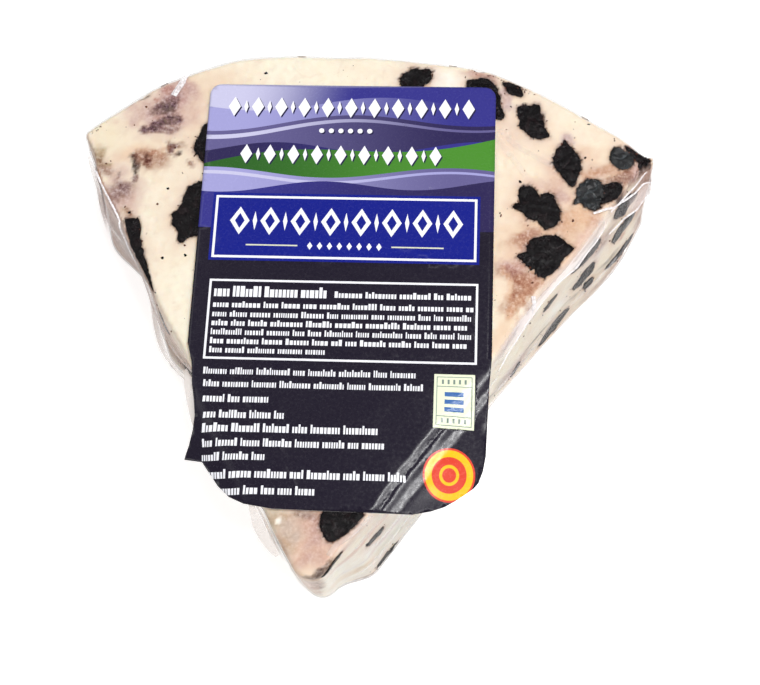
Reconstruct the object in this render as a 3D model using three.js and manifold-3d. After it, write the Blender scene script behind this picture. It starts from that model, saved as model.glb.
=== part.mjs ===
// A wedge of white cheese with whole blueberries in it, cut from a round wheel,
// sealed tight in clear film, with a printed label across its top.
// Millimetres, +Z up, the wedge lies on one of its flat sector faces, its point towards -Y.

import * as THREE from 'three';
import { mergeVertices } from 'three/addons/utils/BufferGeometryUtils.js';
import Module from 'manifold-3d';

const wasm = await Module();
wasm.setup();

const degrees = Math.PI / 180;

// Driving dimensions of the wedge
const WHEEL_RADIUS = 116.6;
const HALF_ANGLE = 32.5 * degrees;
const HEIGHT = 28;
const TIP_RADIUS = 4.5;
const RIGHT_CORNER_RADIUS = 1.2;
const LEFT_CORNER_RADIUS = 1.8;
const TOP_EDGE_RADIUS = 1.3;
const BASE_EDGE_RADIUS = 1.2;

// The cut and the squeeze of the film leave the walls a little uneven: a long and a short wave
const WAVE_HEIGHT = 0.45;
const LONG_WAVE_SHARE = 0.65;

// Heights of the wall's rings between its rounded edges, as shares of the whole, and rings in an edge
const WALL_SHARES = [0.3, 0.55, 0.78];
const EDGE_STEPS = 3;

// The round side draws in from the wheel's circle towards its two corners, from this bearing on
const RIGHT_EASE = { start: 13 * degrees, depth: 3.2, power: 1.2 };
const LEFT_EASE = { start: 14 * degrees, depth: 6.8, power: 1.5 };

// Low bumps and hollows of the round side: where they are, their height and their half width
const RIND_BUMPS = [
  { at: -26.5 * degrees, height: -0.8, width: 3.5 * degrees },
  { at: -13 * degrees, height: 0.5, width: 3 * degrees },
  { at: -3.5 * degrees, height: -1.1, width: 4 * degrees },
  { at: 13.5 * degrees, height: 0.9, width: 4 * degrees },
];

// How far the base stands out past the top edge. Along a straight side it swings about a mean,
// it fades from the tip's own value over a distance, and the swing dies out before the far corner.
const TIP_LEAN = -1.5;
const RIND_LEAN = 1.0;
const RIGHT_LEAN = { mean: 2.4, swing: 1.4, peak: 98, wave: 74, fade: 8.5 };
const LEFT_LEAN = { mean: 1.45, swing: 1.95, peak: 66, wave: 30, fade: 34 };
const SWING_END = 98;
const SWING_FADE = 8;

// Near the left corner the side draws in, from this distance along it on
const LEFT_RECESS = 1.3;
const LEFT_RECESS_START = 96;

// At the right corner the film is pinched out to a point, most of all at the top
const PINCH = 1.5;

// The label, a thin sheet lying on the film
const LABEL_WIDTH = 60;
const LABEL_LENGTH = 91;
const LABEL_THICKNESS = 0.25;
const LABEL_GAP = 0.3;
const LABEL_CORNER_RADIUS = 2.4;
const LABEL_TURN = 2.9 * degrees;
const LABEL_LEFT = -31.7;
const LABEL_TOP = 106.5;

// How the label and the spare film under it bend down past the two straight sides
const BEND_RADIUS = 6;
const RIGHT_DROOP = 20 * degrees;
const LEFT_DROOP = 32 * degrees;
const LABEL_COLUMNS = 14;

// The label's outline where it isn't straight, as pairs of a distance down the label and how far its
// edge is drawn in there: the left edge tucks in, and its lower corner is turned under and gone from sight
const LEFT_DRAWN_IN = [
  [58, 0], [62, 1.1], [66.7, 1.7], [69.7, 2.35], [72.6, 2.7], [75.5, 2.2], [78.4, 1.2], [80.4, 0.3],
  [81.2, 0], [81.8, 4.2], [84.1, 6], [86.5, 7.8], [88.6, 10.3], [90, 13.5], [LABEL_LENGTH, 19],
];
const RIGHT_DRAWN_IN = [
  [60, 0], [65, 0.5], [78.9, 0.6], [81.8, 1], [84.2, 1.8], [85.3, 2.7], [86.6, 4.4], [87.9, 6.2], [89.2, 8.3],
  [90.2, 11], [LABEL_LENGTH, 14.5],
];
const LABEL_ROWS = [
  0, 0.5, 1.3, 2.4, 8, 16, 24, 32, 40, 48, 55, 62, 66.7, 69.7, 72.6, 75.5, 78.4, 80.4,
  81.2, 81.8, 83, 84.2, 85.3, 86.6, 87.9, 89.2, 90.2, LABEL_LENGTH,
];

// The fins of spare film beside the point of the wedge
const FIN_THICKNESS = 0.4;
const FIN_GAP = 0.35;
const FIN_ROOT = 1.2;
const FIN_EDGE = 0.4;
const FIN_ROWS = 10;
const FIN_COLUMNS = 4;
const LEFT_FIN = { start: 28, widest: 40, end: 52, width: 3.6 };
const RIGHT_FIN = { start: 22, widest: 36, end: 52, width: 5.6 };
const TIP_FIN = { start: 10, widest: 16, end: 22, width: 1.4 };

// Berries sit in pockets of their own shape, this much larger all round
const POCKET_GAP = 0.3;
const BERRY_DEPTH = 0.55;
const BERRY_AROUND = 9;
const BERRY_UPWARD = 5;

// Lumps on a berry: how many go round it, their height as a share of its size, and their shift by berry
const LUMPS = [{ count: 2, height: 0.1, shift: 1.7 }, { count: 3, height: 0.07, shift: 2.9 }];

const cosHalf = Math.cos(HALF_ANGLE);
const sinHalf = Math.sin(HALF_ANGLE);

// Materials in the colours of the real thing
const cheeseMaterial = new THREE.MeshStandardMaterial({ color: 0xf3e6d2, roughness: 0.45, metalness: 0 });
const berryMaterial = new THREE.MeshStandardMaterial({ color: 0x1d171c, roughness: 0.3, metalness: 0 });
const labelMaterial = new THREE.MeshStandardMaterial({ color: 0x2b2740, roughness: 0.35, metalness: 0 });
const filmMaterial = new THREE.MeshStandardMaterial({ color: 0xe9e6e4, roughness: 0.12, metalness: 0 });

// Solids from closed geometries and back

function solidFrom(geometry) {
  const bare = geometry.clone();
  bare.deleteAttribute('normal');
  bare.deleteAttribute('uv');
  const merged = mergeVertices(bare, 1e-4);
  return new wasm.Manifold(new wasm.Mesh({
    numProp: 3,
    vertProperties: new Float32Array(merged.attributes.position.array),
    triVerts: new Uint32Array(merged.index.array),
  }));
}

function geometryFrom(solid) {
  const mesh = solid.getMesh();
  const geometry = new THREE.BufferGeometry();
  geometry.setAttribute('position', new THREE.BufferAttribute(new Float32Array(mesh.vertProperties), 3));
  geometry.setIndex(new THREE.BufferAttribute(new Uint32Array(mesh.triVerts), 1));
  geometry.computeVertexNormals();
  return geometry;
}

function geometryFromRings(rings) {
  // Rings of equal length from the bottom up, each counter-clockwise seen from above,
  // joined by strips and closed by a fan at each end.
  const count = rings[0].length;
  const positions = [];
  const triangles = [];
  for (const ring of rings) {
    for (const point of ring) {
      positions.push(point.x, point.y, point.z);
    }
  }
  for (let level = 0; level + 1 < rings.length; level += 1) {
    for (let i = 0; i < count; i += 1) {
      const next = (i + 1) % count;
      const low = level * count;
      const high = low + count;
      triangles.push(low + i, low + next, high + next);
      triangles.push(low + i, high + next, high + i);
    }
  }
  const ends = [[rings[0], 0], [rings[rings.length - 1], (rings.length - 1) * count]];
  for (const [ring, first] of ends) {
    const middle = new THREE.Vector3();
    for (const point of ring) {
      middle.addScaledVector(point, 1 / count);
    }
    const hub = positions.length / 3;
    positions.push(middle.x, middle.y, middle.z);
    for (let i = 0; i < count; i += 1) {
      const next = (i + 1) % count;
      if (first === 0) {
        triangles.push(hub, first + next, first + i);
      } else {
        triangles.push(hub, first + i, first + next);
      }
    }
  }
  const geometry = new THREE.BufferGeometry();
  geometry.setAttribute('position', new THREE.Float32BufferAttribute(positions, 3));
  geometry.setIndex(triangles);
  geometry.computeVertexNormals();
  return geometry;
}

// The wedge. A bearing is an angle from +Y towards +X; the sharp point of the sector is at x = y = 0.

function bearing(angle) {
  return new THREE.Vector2(Math.sin(angle), Math.cos(angle));
}

function rindRadius(turn) {
  const { start, depth, power } = turn > 0 ? RIGHT_EASE : LEFT_EASE;
  const share = Math.max(Math.abs(turn) - start, 0) / (HALF_ANGLE - start);
  let radius = WHEEL_RADIUS - depth * share ** power;
  for (const { at, height, width } of RIND_BUMPS) {
    radius += height * Math.exp(-(((turn - at) / width) ** 2));
  }
  return radius;
}

function rindPlace(turn) {
  // A point of the round side and its outward normal
  const step = 0.001;
  const point = bearing(turn).multiplyScalar(rindRadius(turn));
  const next = turn + step;
  const ahead = bearing(next).multiplyScalar(rindRadius(next)).sub(point).normalize();
  return { point, normal: new THREE.Vector2(-ahead.y, ahead.x) };
}

function cornerPlace(hand, radius, recess) {
  // The circle of this radius that touches the round side and the straight side, which is drawn in by recess
  const halvings = 40;
  let inner = HALF_ANGLE / 2;
  let outer = HALF_ANGLE;
  let found;
  for (let i = 0; i < halvings; i += 1) {
    const turn = hand * (inner + outer) / 2;
    const { point, normal } = rindPlace(turn);
    const centre = point.addScaledVector(normal, -radius);
    found = { centre, turn, heading: Math.atan2(normal.x, normal.y) };
    if (hand * centre.x * cosHalf - centre.y * sinHalf > -radius - recess) {
      outer = Math.abs(turn);
    } else {
      inner = Math.abs(turn);
    }
  }
  return found;
}

function smoothStep(value) {
  const share = Math.min(Math.max(value, 0), 1);
  return share * share * (3 - 2 * share);
}

function sideLean(hand, along) {
  // How far the base of a straight side stands out at this distance from the sharp point
  const { mean, swing, peak, wave, fade } = hand > 0 ? RIGHT_LEAN : LEFT_LEAN;
  const kept = hand > 0 ? 1 : 1 - smoothStep((along - SWING_END) / SWING_FADE);
  const full = mean + kept * swing * Math.cos(2 * Math.PI * (along - peak) / wave);
  const share = smoothStep((along - TIP_RADIUS * cosHalf / sinHalf) / fade);
  return TIP_LEAN + (full - TIP_LEAN) * share;
}

function sideRecess(hand, along, end) {
  // How far a straight side is drawn in at this distance from the sharp point
  return hand > 0 ? 0 : LEFT_RECESS * smoothStep((along - LEFT_RECESS_START) / (end - LEFT_RECESS_START));
}

const TIP_STEPS = 5;
const RIGHT_SIDE_STEPS = 11;
const LEFT_SIDE_STEPS = 20;
const RIND_STEPS = 22;
const RIGHT_CORNER_STEPS = 4;
const LEFT_CORNER_STEPS = 4;

function wedgeOutline() {
  // Points with outward normals and the lean of the wall, counter-clockwise seen from above
  const outline = [];
  const addArc = (centre, radius, from, to, steps, leanFrom, leanTo, pinch) => {
    for (let i = 0; i < steps; i += 1) {
      const share = i / steps;
      const normal = bearing(from + (to - from) * share);
      const lean = leanFrom + (leanTo - leanFrom) * share;
      const point = centre.clone().addScaledVector(normal, radius);
      outline.push({ point, normal, lean, pinch: pinch * Math.sin(Math.PI * share) });
    }
  };
  const addStraight = (hand, from, to, normal, steps, far) => {
    // The straight line between two places on the side's plane, drawn in towards the far corner
    for (let i = 0; i < steps; i += 1) {
      const point = from.clone().lerp(to, i / steps);
      const along = hand * point.x * sinHalf + point.y * cosHalf;
      point.addScaledVector(normal, -sideRecess(hand, along, far));
      outline.push({ point, normal, lean: sideLean(hand, along), pinch: 0 });
    }
  };
  const square = 90 * degrees;
  const tip = new THREE.Vector2(0, TIP_RADIUS / sinHalf);
  const right = cornerPlace(1, RIGHT_CORNER_RADIUS, 0);
  const left = cornerPlace(-1, LEFT_CORNER_RADIUS, LEFT_RECESS);
  const rightNormal = bearing(HALF_ANGLE + square);
  const leftNormal = bearing(-HALF_ANGLE - square);
  const touch = (centre, radius, normal) => centre.clone().addScaledVector(normal, radius);
  const rightEnd = touch(right.centre, RIGHT_CORNER_RADIUS, rightNormal);
  const leftEnd = touch(left.centre, LEFT_CORNER_RADIUS + LEFT_RECESS, leftNormal);
  const rightLean = sideLean(1, rightEnd.length());
  const leftLean = sideLean(-1, leftEnd.length());
  addArc(tip, TIP_RADIUS, 180 * degrees, HALF_ANGLE + square, TIP_STEPS, TIP_LEAN, TIP_LEAN, 0);
  const rightStart = touch(tip, TIP_RADIUS, rightNormal);
  const leftStart = touch(tip, TIP_RADIUS, leftNormal);
  addStraight(1, rightStart, rightEnd, rightNormal, RIGHT_SIDE_STEPS, rightEnd.length());
  addArc(
    right.centre, RIGHT_CORNER_RADIUS, HALF_ANGLE + square, right.heading, RIGHT_CORNER_STEPS,
    rightLean, RIND_LEAN, PINCH,
  );
  for (let i = 0; i < RIND_STEPS; i += 1) {
    const place = rindPlace(right.turn + (left.turn - right.turn) * (i / RIND_STEPS));
    outline.push({ ...place, lean: RIND_LEAN, pinch: 0 });
  }
  addArc(
    left.centre, LEFT_CORNER_RADIUS, left.heading, -HALF_ANGLE - square, LEFT_CORNER_STEPS,
    RIND_LEAN, leftLean, 0,
  );
  addStraight(-1, leftEnd, leftStart, leftNormal, LEFT_SIDE_STEPS, leftEnd.length());
  addArc(tip, TIP_RADIUS, -HALF_ANGLE - square, -180 * degrees, TIP_STEPS, TIP_LEAN, TIP_LEAN, 0);
  return outline;
}

function sideWave(point, z) {
  const long = Math.sin(point.x * 0.11 + point.y * 0.17 + z * 0.08);
  const short = Math.sin(point.y * 0.31 - point.x * 0.23 - z * 0.21 + 1.3);
  return WAVE_HEIGHT * (LONG_WAVE_SHARE * long + (1 - LONG_WAVE_SHARE) * short);
}

function wedgeGeometry() {
  const outline = wedgeOutline();
  const levels = [];
  for (let i = 0; i <= EDGE_STEPS; i += 1) {
    const turn = 90 * degrees * (i / EDGE_STEPS);
    levels.push({
      z: BASE_EDGE_RADIUS * (1 - Math.cos(turn)),
      inset: BASE_EDGE_RADIUS * (1 - Math.sin(turn)),
    });
  }
  for (const share of WALL_SHARES) {
    levels.push({ z: HEIGHT * share, inset: 0 });
  }
  for (let i = 0; i <= EDGE_STEPS; i += 1) {
    const turn = 90 * degrees * (i / EDGE_STEPS);
    levels.push({
      z: HEIGHT - TOP_EDGE_RADIUS * (1 - Math.sin(turn)),
      inset: TOP_EDGE_RADIUS * (1 - Math.cos(turn)),
    });
  }
  const rings = levels.map(({ z, inset }) => outline.map(({ point, normal, lean, pinch }) => {
    const out = lean * (1 - z / HEIGHT) - inset + sideWave(point, z) + pinch * smoothStep(z / HEIGHT);
    return new THREE.Vector3(point.x + normal.x * out, point.y + normal.y * out, z);
  }));
  return geometryFromRings(rings);
}

// Berries. Each is a lumpy rounded body that is cut off flush where it meets a face of the wedge.

function faceFrame(face, u, v) {
  // Local axes on a face: x along it, y across it, z out of the cheese.
  // On top u and v are x and y. On a straight side u runs from the sharp point, v is the height.
  // On the round side u is a bearing in degrees, v is the height.
  const low = 1 - v / HEIGHT;
  const up = new THREE.Vector3(0, 0, 1);
  if (face === 'top') {
    return new THREE.Matrix4().makeTranslation(u, v, HEIGHT);
  }
  let outward;
  let origin;
  if (face === 'rind') {
    outward = new THREE.Vector3(Math.sin(u * degrees), Math.cos(u * degrees), 0);
    origin = outward.clone().multiplyScalar(rindRadius(u * degrees) + RIND_LEAN * low);
  } else {
    const hand = face === 'right' ? 1 : -1;
    outward = new THREE.Vector3(hand * cosHalf, -sinHalf, 0);
    origin = new THREE.Vector3(hand * sinHalf, cosHalf, 0).multiplyScalar(u);
    origin.addScaledVector(outward, sideLean(hand, u) * low - sideRecess(hand, u, WHEEL_RADIUS));
  }
  const along = new THREE.Vector3().crossVectors(up, outward);
  origin.addScaledVector(up, v);
  return new THREE.Matrix4().makeBasis(along, up, outward).setPosition(origin);
}

function berryGeometry(length, width, turn, seed, grow) {
  const geometry = new THREE.SphereGeometry(1, BERRY_AROUND, BERRY_UPWARD);
  const positions = geometry.attributes.position;
  const depth = width * BERRY_DEPTH;
  const cosTurn = Math.cos(turn * degrees);
  const sinTurn = Math.sin(turn * degrees);
  for (let i = 0; i < positions.count; i += 1) {
    // The sphere's poles point into and out of the cheese
    const x = positions.getX(i);
    const y = positions.getZ(i);
    const z = positions.getY(i);
    const heading = Math.atan2(y, x);
    let lump = 1;
    for (const { count, height, shift } of LUMPS) {
      lump += height * Math.sin(count * heading + seed * shift);
    }
    const long = x * (length / 2 * lump + grow);
    const wide = y * (width / 2 * lump + grow);
    positions.setXYZ(i, long * cosTurn + wide * sinTurn, long * sinTurn - wide * cosTurn, z * (depth + grow));
  }
  return geometry;
}

const BERRIES = [
  // On top: x, y, length, width, turn
  ['top', -30.6, 93.6, 8.8, 6.4, 85],
  ['top', -31.6, 77.4, 14.0, 8.6, 97],
  ['top', -42.2, 68.4, 14.0, 3.4, 122],
  ['top', 11.4, 111.0, 6.2, 4.4, -12],
  ['top', 26.0, 108.6, 12.5, 6.6, -48],
  ['top', 32.2, 110.8, 4.4, 2.4, -38],
  ['top', 36.5, 102.3, 8.8, 5.6, -62],
  ['top', 44.0, 93.6, 11.2, 4.8, -72],
  ['top', 55.0, 95.2, 5.2, 4.4, -30],
  ['top', 59.0, 95.8, 6.2, 2.6, -38],
  ['top', 47.9, 86.8, 6.0, 5.8, 20],
  ['top', 53.4, 88.2, 4.4, 3.4, 20],
  ['top', 38.2, 83.2, 9.4, 8.6, -30],
  ['top', 39.8, 72.6, 11.6, 8.2, 8],
  ['top', 5.0, 15.0, 7.8, 4.8, 6],
  // On the right-hand cut side: distance from the sharp point, height, length, width, turn
  ['right', 105, 20, 9.5, 4.6, -28],
  ['right', 103.5, 13, 10.2, 3.2, -11],
  ['right', 103, 4.4, 12, 2.4, -16],
  ['right', 90.8, 21.6, 9.6, 4.6, -9],
  ['right', 89.8, 13, 8.6, 4.2, 15],
  ['right', 91, 7.6, 3.4, 2.6, 10],
  ['right', 79.3, 4, 9.7, 3.6, 12],
  ['right', 78.5, 18.6, 4, 1.8, 6],
  ['right', 66.5, 5.8, 5, 2, 49],
  ['right', 19, 16.2, 4.4, 2, -7],
  ['right', 19.2, 1.8, 6, 2.6, -12],
  ['right', 8.4, 25, 6, 2.6, 8],
  // On the left-hand cut side
  ['left', 13.5, 13, 7.4, 5.0, -8],
  ['left', 27, 9.4, 7.4, 6.2, 20],
  ['left', 38, 5.2, 5.6, 4.4, 10],
  ['left', 44, 18.6, 8.8, 5.6, -12],
  ['left', 58, 7.2, 6.6, 6.8, 0],
  ['left', 66, 20.2, 5.0, 4.4, 35],
  // On the round side: bearing in degrees, height, length, width, turn
  ['rind', -25, 10.0, 8.8, 6.6, 12],
  ['rind', -17.5, 20.4, 6.2, 5.2, -20],
  ['rind', -10, 7.6, 10.4, 6.0, 4],
  ['rind', -2, 17.8, 8.2, 7.4, 30],
  ['rind', 5.5, 6.2, 5.6, 5.2, 0],
  ['rind', 12.5, 18.6, 9.6, 5.4, -14],
  ['rind', 19.5, 8.8, 7.4, 7.0, 22],
  ['rind', 26.5, 19.4, 6.0, 5.0, 0],
];

function makeCheeseAndBerries() {
  const whole = solidFrom(wedgeGeometry());
  let cheese = whole;
  const counts = {};
  const meshes = [];
  BERRIES.forEach(([face, u, v, length, width, turn], index) => {
    const place = faceFrame(face, u, v);
    const body = solidFrom(berryGeometry(length, width, turn, index, 0).applyMatrix4(place));
    const pocket = solidFrom(berryGeometry(length, width, turn, index, POCKET_GAP).applyMatrix4(place));
    counts[face] = (counts[face] ?? 0) + 1;
    const mesh = new THREE.Mesh(geometryFrom(body.intersect(whole)), berryMaterial);
    mesh.name = `berry_${face}_${String(counts[face]).padStart(2, '0')}`;
    meshes.push(mesh);
    cheese = cheese.subtract(pocket);
  });
  const wedge = new THREE.Mesh(geometryFrom(cheese), cheeseMaterial);
  wedge.name = 'wrapped_cheese';
  return [wedge, ...meshes];
}

// The label and the fins are sheets: flat over the top face, bent down past the straight sides

function bend(distance, radius, angle) {
  // Where a sheet point at this distance past the bend line ends up, and the sheet's tilt there
  if (distance <= 0) {
    return { out: distance, down: 0, tilt: 0 };
  }
  const tilt = Math.min(distance / radius, angle);
  const rest = distance - radius * tilt;
  return {
    out: radius * Math.sin(tilt) + rest * Math.cos(tilt),
    down: radius * (1 - Math.cos(tilt)) + rest * Math.sin(tilt),
    tilt,
  };
}

function bendOverSides(x, y, lift) {
  // A point of the flat sheet at height lift above the top face, carried round the side it passes
  const hand = x < 0 ? -1 : 1;
  const droop = x < 0 ? LEFT_DROOP : RIGHT_DROOP;
  const outward = new THREE.Vector2(hand * cosHalf, -sinHalf);
  const past = x * outward.x + y * outward.y;
  const { out, down, tilt } = bend(past, BEND_RADIUS, droop);
  const move = out - past + lift * Math.sin(tilt);
  return new THREE.Vector3(
    x + outward.x * move, y + outward.y * move, HEIGHT - down + lift * Math.cos(tilt),
  );
}

function labelPoint(across, down, lift) {
  const x = LABEL_LEFT + across * Math.cos(LABEL_TURN) + down * Math.sin(LABEL_TURN);
  const y = LABEL_TOP + across * Math.sin(LABEL_TURN) - down * Math.cos(LABEL_TURN);
  return bendOverSides(x, y, lift);
}

function drawnIn(pairs, down) {
  // How far an edge of the label is drawn in at this distance down it
  if (down <= pairs[0][0]) {
    return 0;
  }
  const next = pairs.findIndex(([place]) => place >= down);
  const [from, first] = pairs[next - 1];
  const [to, last] = pairs[next];
  return first + (last - first) * (down - from) / (to - from);
}

function sheetGeometry(rows, columns, place, thickness) {
  // A closed sheet: place(row, column, lift) gives a point of its under or upper face
  const positions = [];
  const triangles = [];
  const index = (row, column, face) => (row * (columns + 1) + column) * 2 + face;
  for (let row = 0; row <= rows; row += 1) {
    for (let column = 0; column <= columns; column += 1) {
      for (const lift of [0, thickness]) {
        const point = place(row / rows, column / columns, lift);
        positions.push(point.x, point.y, point.z);
      }
    }
  }
  const quad = (a, b, c, d) => {
    triangles.push(a, b, c);
    triangles.push(a, c, d);
  };
  for (let row = 0; row < rows; row += 1) {
    for (let column = 0; column < columns; column += 1) {
      const corners = [[row, column], [row + 1, column], [row + 1, column + 1], [row, column + 1]];
      quad(...corners.map(([r, c]) => index(r, c, 1)));
      // The under face is split along the same diagonals, so the thin sheet never cuts itself
      const [under, near, across, side] = corners.map(([r, c]) => index(r, c, 0));
      triangles.push(under, across, near);
      triangles.push(under, side, across);
    }
    const after = row + 1;
    quad(index(row, 0, 0), index(after, 0, 0), index(after, 0, 1), index(row, 0, 1));
    quad(index(after, columns, 0), index(row, columns, 0), index(row, columns, 1), index(after, columns, 1));
  }
  for (let column = 0; column < columns; column += 1) {
    const after = column + 1;
    quad(index(0, after, 0), index(0, column, 0), index(0, column, 1), index(0, after, 1));
    quad(index(rows, column, 0), index(rows, after, 0), index(rows, after, 1), index(rows, column, 1));
  }
  const geometry = new THREE.BufferGeometry();
  geometry.setAttribute('position', new THREE.Float32BufferAttribute(positions, 3));
  geometry.setIndex(triangles);
  geometry.computeVertexNormals();
  return geometry;
}

function makeLabel() {
  const topInset = (down) => {
    // How far a rounded upper corner pulls the label's edge in at this distance down it
    const rise = Math.max(LABEL_CORNER_RADIUS - down, 0);
    return LABEL_CORNER_RADIUS - Math.sqrt(LABEL_CORNER_RADIUS ** 2 - rise ** 2);
  };
  const place = (rowShare, columnShare, lift) => {
    // Columns crowd towards the edges, where the label bends
    const rows = LABEL_ROWS.length - 1;
    const down = LABEL_ROWS[Math.round(rowShare * rows)];
    const left = topInset(down) + drawnIn(LEFT_DRAWN_IN, down);
    const right = LABEL_WIDTH - topInset(down) - drawnIn(RIGHT_DRAWN_IN, down);
    const crowded = 0.5 - 0.5 * Math.cos(Math.PI * columnShare);
    return labelPoint(left + (right - left) * (columnShare + crowded) / 2, down, LABEL_GAP + lift);
  };
  const sheet = sheetGeometry(LABEL_ROWS.length - 1, LABEL_COLUMNS, place, LABEL_THICKNESS);
  const label = new THREE.Mesh(sheet, labelMaterial);
  label.name = 'label';
  return label;
}

function makeFin(name, hand, { start, widest, end, width }) {
  // A narrow leaf of spare film that stands off a straight side, under the label's bent edge.
  // start, widest and end are distances along the side from the sharp point.
  const place = (rowShare, outShare, lift) => {
    // Rows run towards the far end on the left and back again on the right, so both faces point out
    const alongShare = hand < 0 ? rowShare : 1 - rowShare;
    const along = start + (end - start) * alongShare;
    const rise = along < widest ? (along - start) / (widest - start) : (end - along) / (end - widest);
    const past = FIN_ROOT + (FIN_EDGE + width * Math.sin(90 * degrees * rise)) * outShare;
    const x = hand * (along * sinHalf + past * cosHalf);
    const y = along * cosHalf - past * sinHalf;
    return bendOverSides(x, y, lift - FIN_GAP - FIN_THICKNESS);
  };
  const fin = new THREE.Mesh(sheetGeometry(FIN_ROWS, FIN_COLUMNS, place, FIN_THICKNESS), filmMaterial);
  fin.name = name;
  return fin;
}

const wedge = new THREE.Group();
wedge.add(...makeCheeseAndBerries());
wedge.add(makeLabel());
wedge.add(makeFin('film_fin_left', -1, LEFT_FIN), makeFin('film_fin_right', 1, RIGHT_FIN));
wedge.add(makeFin('film_fin_tip', -1, TIP_FIN));

// The origin is under the middle of the whole, on the surface that it lies on
const box = new THREE.Box3().setFromObject(wedge);
const middle = box.getCenter(new THREE.Vector3());
wedge.position.set(-middle.x, -middle.y, -box.min.z);

const group = new THREE.Group();
group.add(wedge);

export default group;
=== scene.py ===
# A wedge of white cheese with blueberries in it, sealed in clear film, with a printed label on top.
# Shapes are worked out in millimetres in the wedge's own plan, where the sharp point of the sector
# is at x = y = 0 and the round side is towards +Y, and are moved and scaled when a mesh is made.

import math

import bpy
import numpy as np
from mathutils import Matrix, Vector
from mathutils.bvhtree import BVHTree
from mathutils.geometry import delaunay_2d_cdt


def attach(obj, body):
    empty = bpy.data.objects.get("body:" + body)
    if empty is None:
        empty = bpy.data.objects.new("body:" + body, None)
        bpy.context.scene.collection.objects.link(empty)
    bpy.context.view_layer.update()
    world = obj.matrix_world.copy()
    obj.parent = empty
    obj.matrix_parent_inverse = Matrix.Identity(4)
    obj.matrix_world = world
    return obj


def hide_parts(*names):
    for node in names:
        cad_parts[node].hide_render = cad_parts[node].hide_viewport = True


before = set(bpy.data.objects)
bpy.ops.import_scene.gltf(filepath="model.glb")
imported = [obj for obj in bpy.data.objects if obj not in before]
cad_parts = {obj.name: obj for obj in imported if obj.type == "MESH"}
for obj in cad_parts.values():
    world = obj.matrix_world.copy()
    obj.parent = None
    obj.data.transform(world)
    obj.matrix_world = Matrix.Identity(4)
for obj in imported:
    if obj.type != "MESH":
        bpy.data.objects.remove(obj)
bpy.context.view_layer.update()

MM = 0.001

# The wedge as in the CAD model
WHEEL_RADIUS = 116.6
HALF_ANGLE = math.radians(32.5)
HEIGHT = 28.0
TIP_RADIUS = 4.5
RIGHT_CORNER_RADIUS = 1.2
LEFT_CORNER_RADIUS = 1.8
TOP_EDGE_RADIUS = 1.3
BASE_EDGE_RADIUS = 1.2
WAVE_HEIGHT = 0.45
LONG_WAVE_SHARE = 0.65
SHARP_POINT = np.array([-1.91668, -60.65387, 0.0])

# The round side draws in towards its corners: start, depth and power on the right and the left
RIND_EASE = {1: (math.radians(13), 3.2, 1.2), -1: (math.radians(14), 6.8, 1.5)}

# Its low bumps and hollows: where, height and half width
RIND_BUMPS = [
    (math.radians(-26.5), -0.8, math.radians(3.5)), (math.radians(-13), 0.5, math.radians(3)),
    (math.radians(-3.5), -1.1, math.radians(4)), (math.radians(13.5), 0.9, math.radians(4)),
]

# How far the base stands out past the top edge: mean, swing, peak, wave length and fade of each side
TIP_LEAN = -1.5
RIND_LEAN = 1.0
SIDE_LEAN = {1: (2.4, 1.4, 98.0, 74.0, 8.5), -1: (1.45, 1.95, 66.0, 30.0, 34.0)}
SWING_END = 98.0
SWING_FADE = 8.0
LEFT_RECESS = 1.3
LEFT_RECESS_START = 96.0
PINCH = 1.5

# Depths under the film: the cheese and its hollows, the berries' skins, and how far down the berries
# go; the height of the film's waves, how far it stays off the table and under the label
PASTE_DEPTH = 0.4
LEAST_PASTE_DEPTH = 0.22
HOLLOW_DEPTH = 1.3
BERRY_DEPTH = 0.22
LEAST_BERRY_DEPTH = 0.1
SKIRT_DEPTH = 1.5
BERRY_BOTTOM = 2.1
FILM_WAVE = 0.10
FILM_BASE = 0.03
UNDER_LABEL = HEIGHT + 0.12

# The label and its bends as in the CAD model
LABEL_WIDTH = 60.0
LABEL_LENGTH = 91.0
LABEL_THICKNESS = 0.25
LABEL_GAP = 0.3
LABEL_CORNER_RADIUS = 2.4
LABEL_TURN = math.radians(2.9)
LABEL_LEFT = -31.7
LABEL_TOP = 106.5
BEND_RADIUS = 6.0
RIGHT_DROOP = math.radians(20)
LEFT_DROOP = math.radians(32)

# The label's edges where they are drawn in: distances down the label and how far in
LEFT_DRAWN_IN = [
    (58, 0), (62, 1.1), (66.7, 1.7), (69.7, 2.35), (72.6, 2.7), (75.5, 2.2), (78.4, 1.2), (80.4, 0.3),
    (81.2, 0), (81.8, 4.2), (84.1, 6), (86.5, 7.8), (88.6, 10.3), (90, 13.5), (LABEL_LENGTH, 19),
]
RIGHT_DRAWN_IN = [
    (60, 0), (65, 0.5), (78.9, 0.6), (81.8, 1), (84.2, 1.8), (85.3, 2.7), (86.6, 4.4), (87.9, 6.2),
    (89.2, 8.3), (90.2, 11), (LABEL_LENGTH, 14.5),
]

COS_HALF = math.cos(HALF_ANGLE)
SIN_HALF = math.sin(HALF_ANGLE)


# Small helpers

def linear(red, green, blue):
    """A screen colour, 0 to 255, as linear light."""
    channels = np.array([red, green, blue]) / 255.0
    return np.where(channels <= 0.04045, channels / 12.92, ((channels + 0.055) / 1.055) ** 2.4)


def smooth_step(low, high, values):
    share = np.clip((values - low) / (high - low), 0.0, 1.0)
    return share * share * (3.0 - 2.0 * share)


def lattice(seed):
    return np.random.default_rng(seed).random((32, 32, 32))


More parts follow.
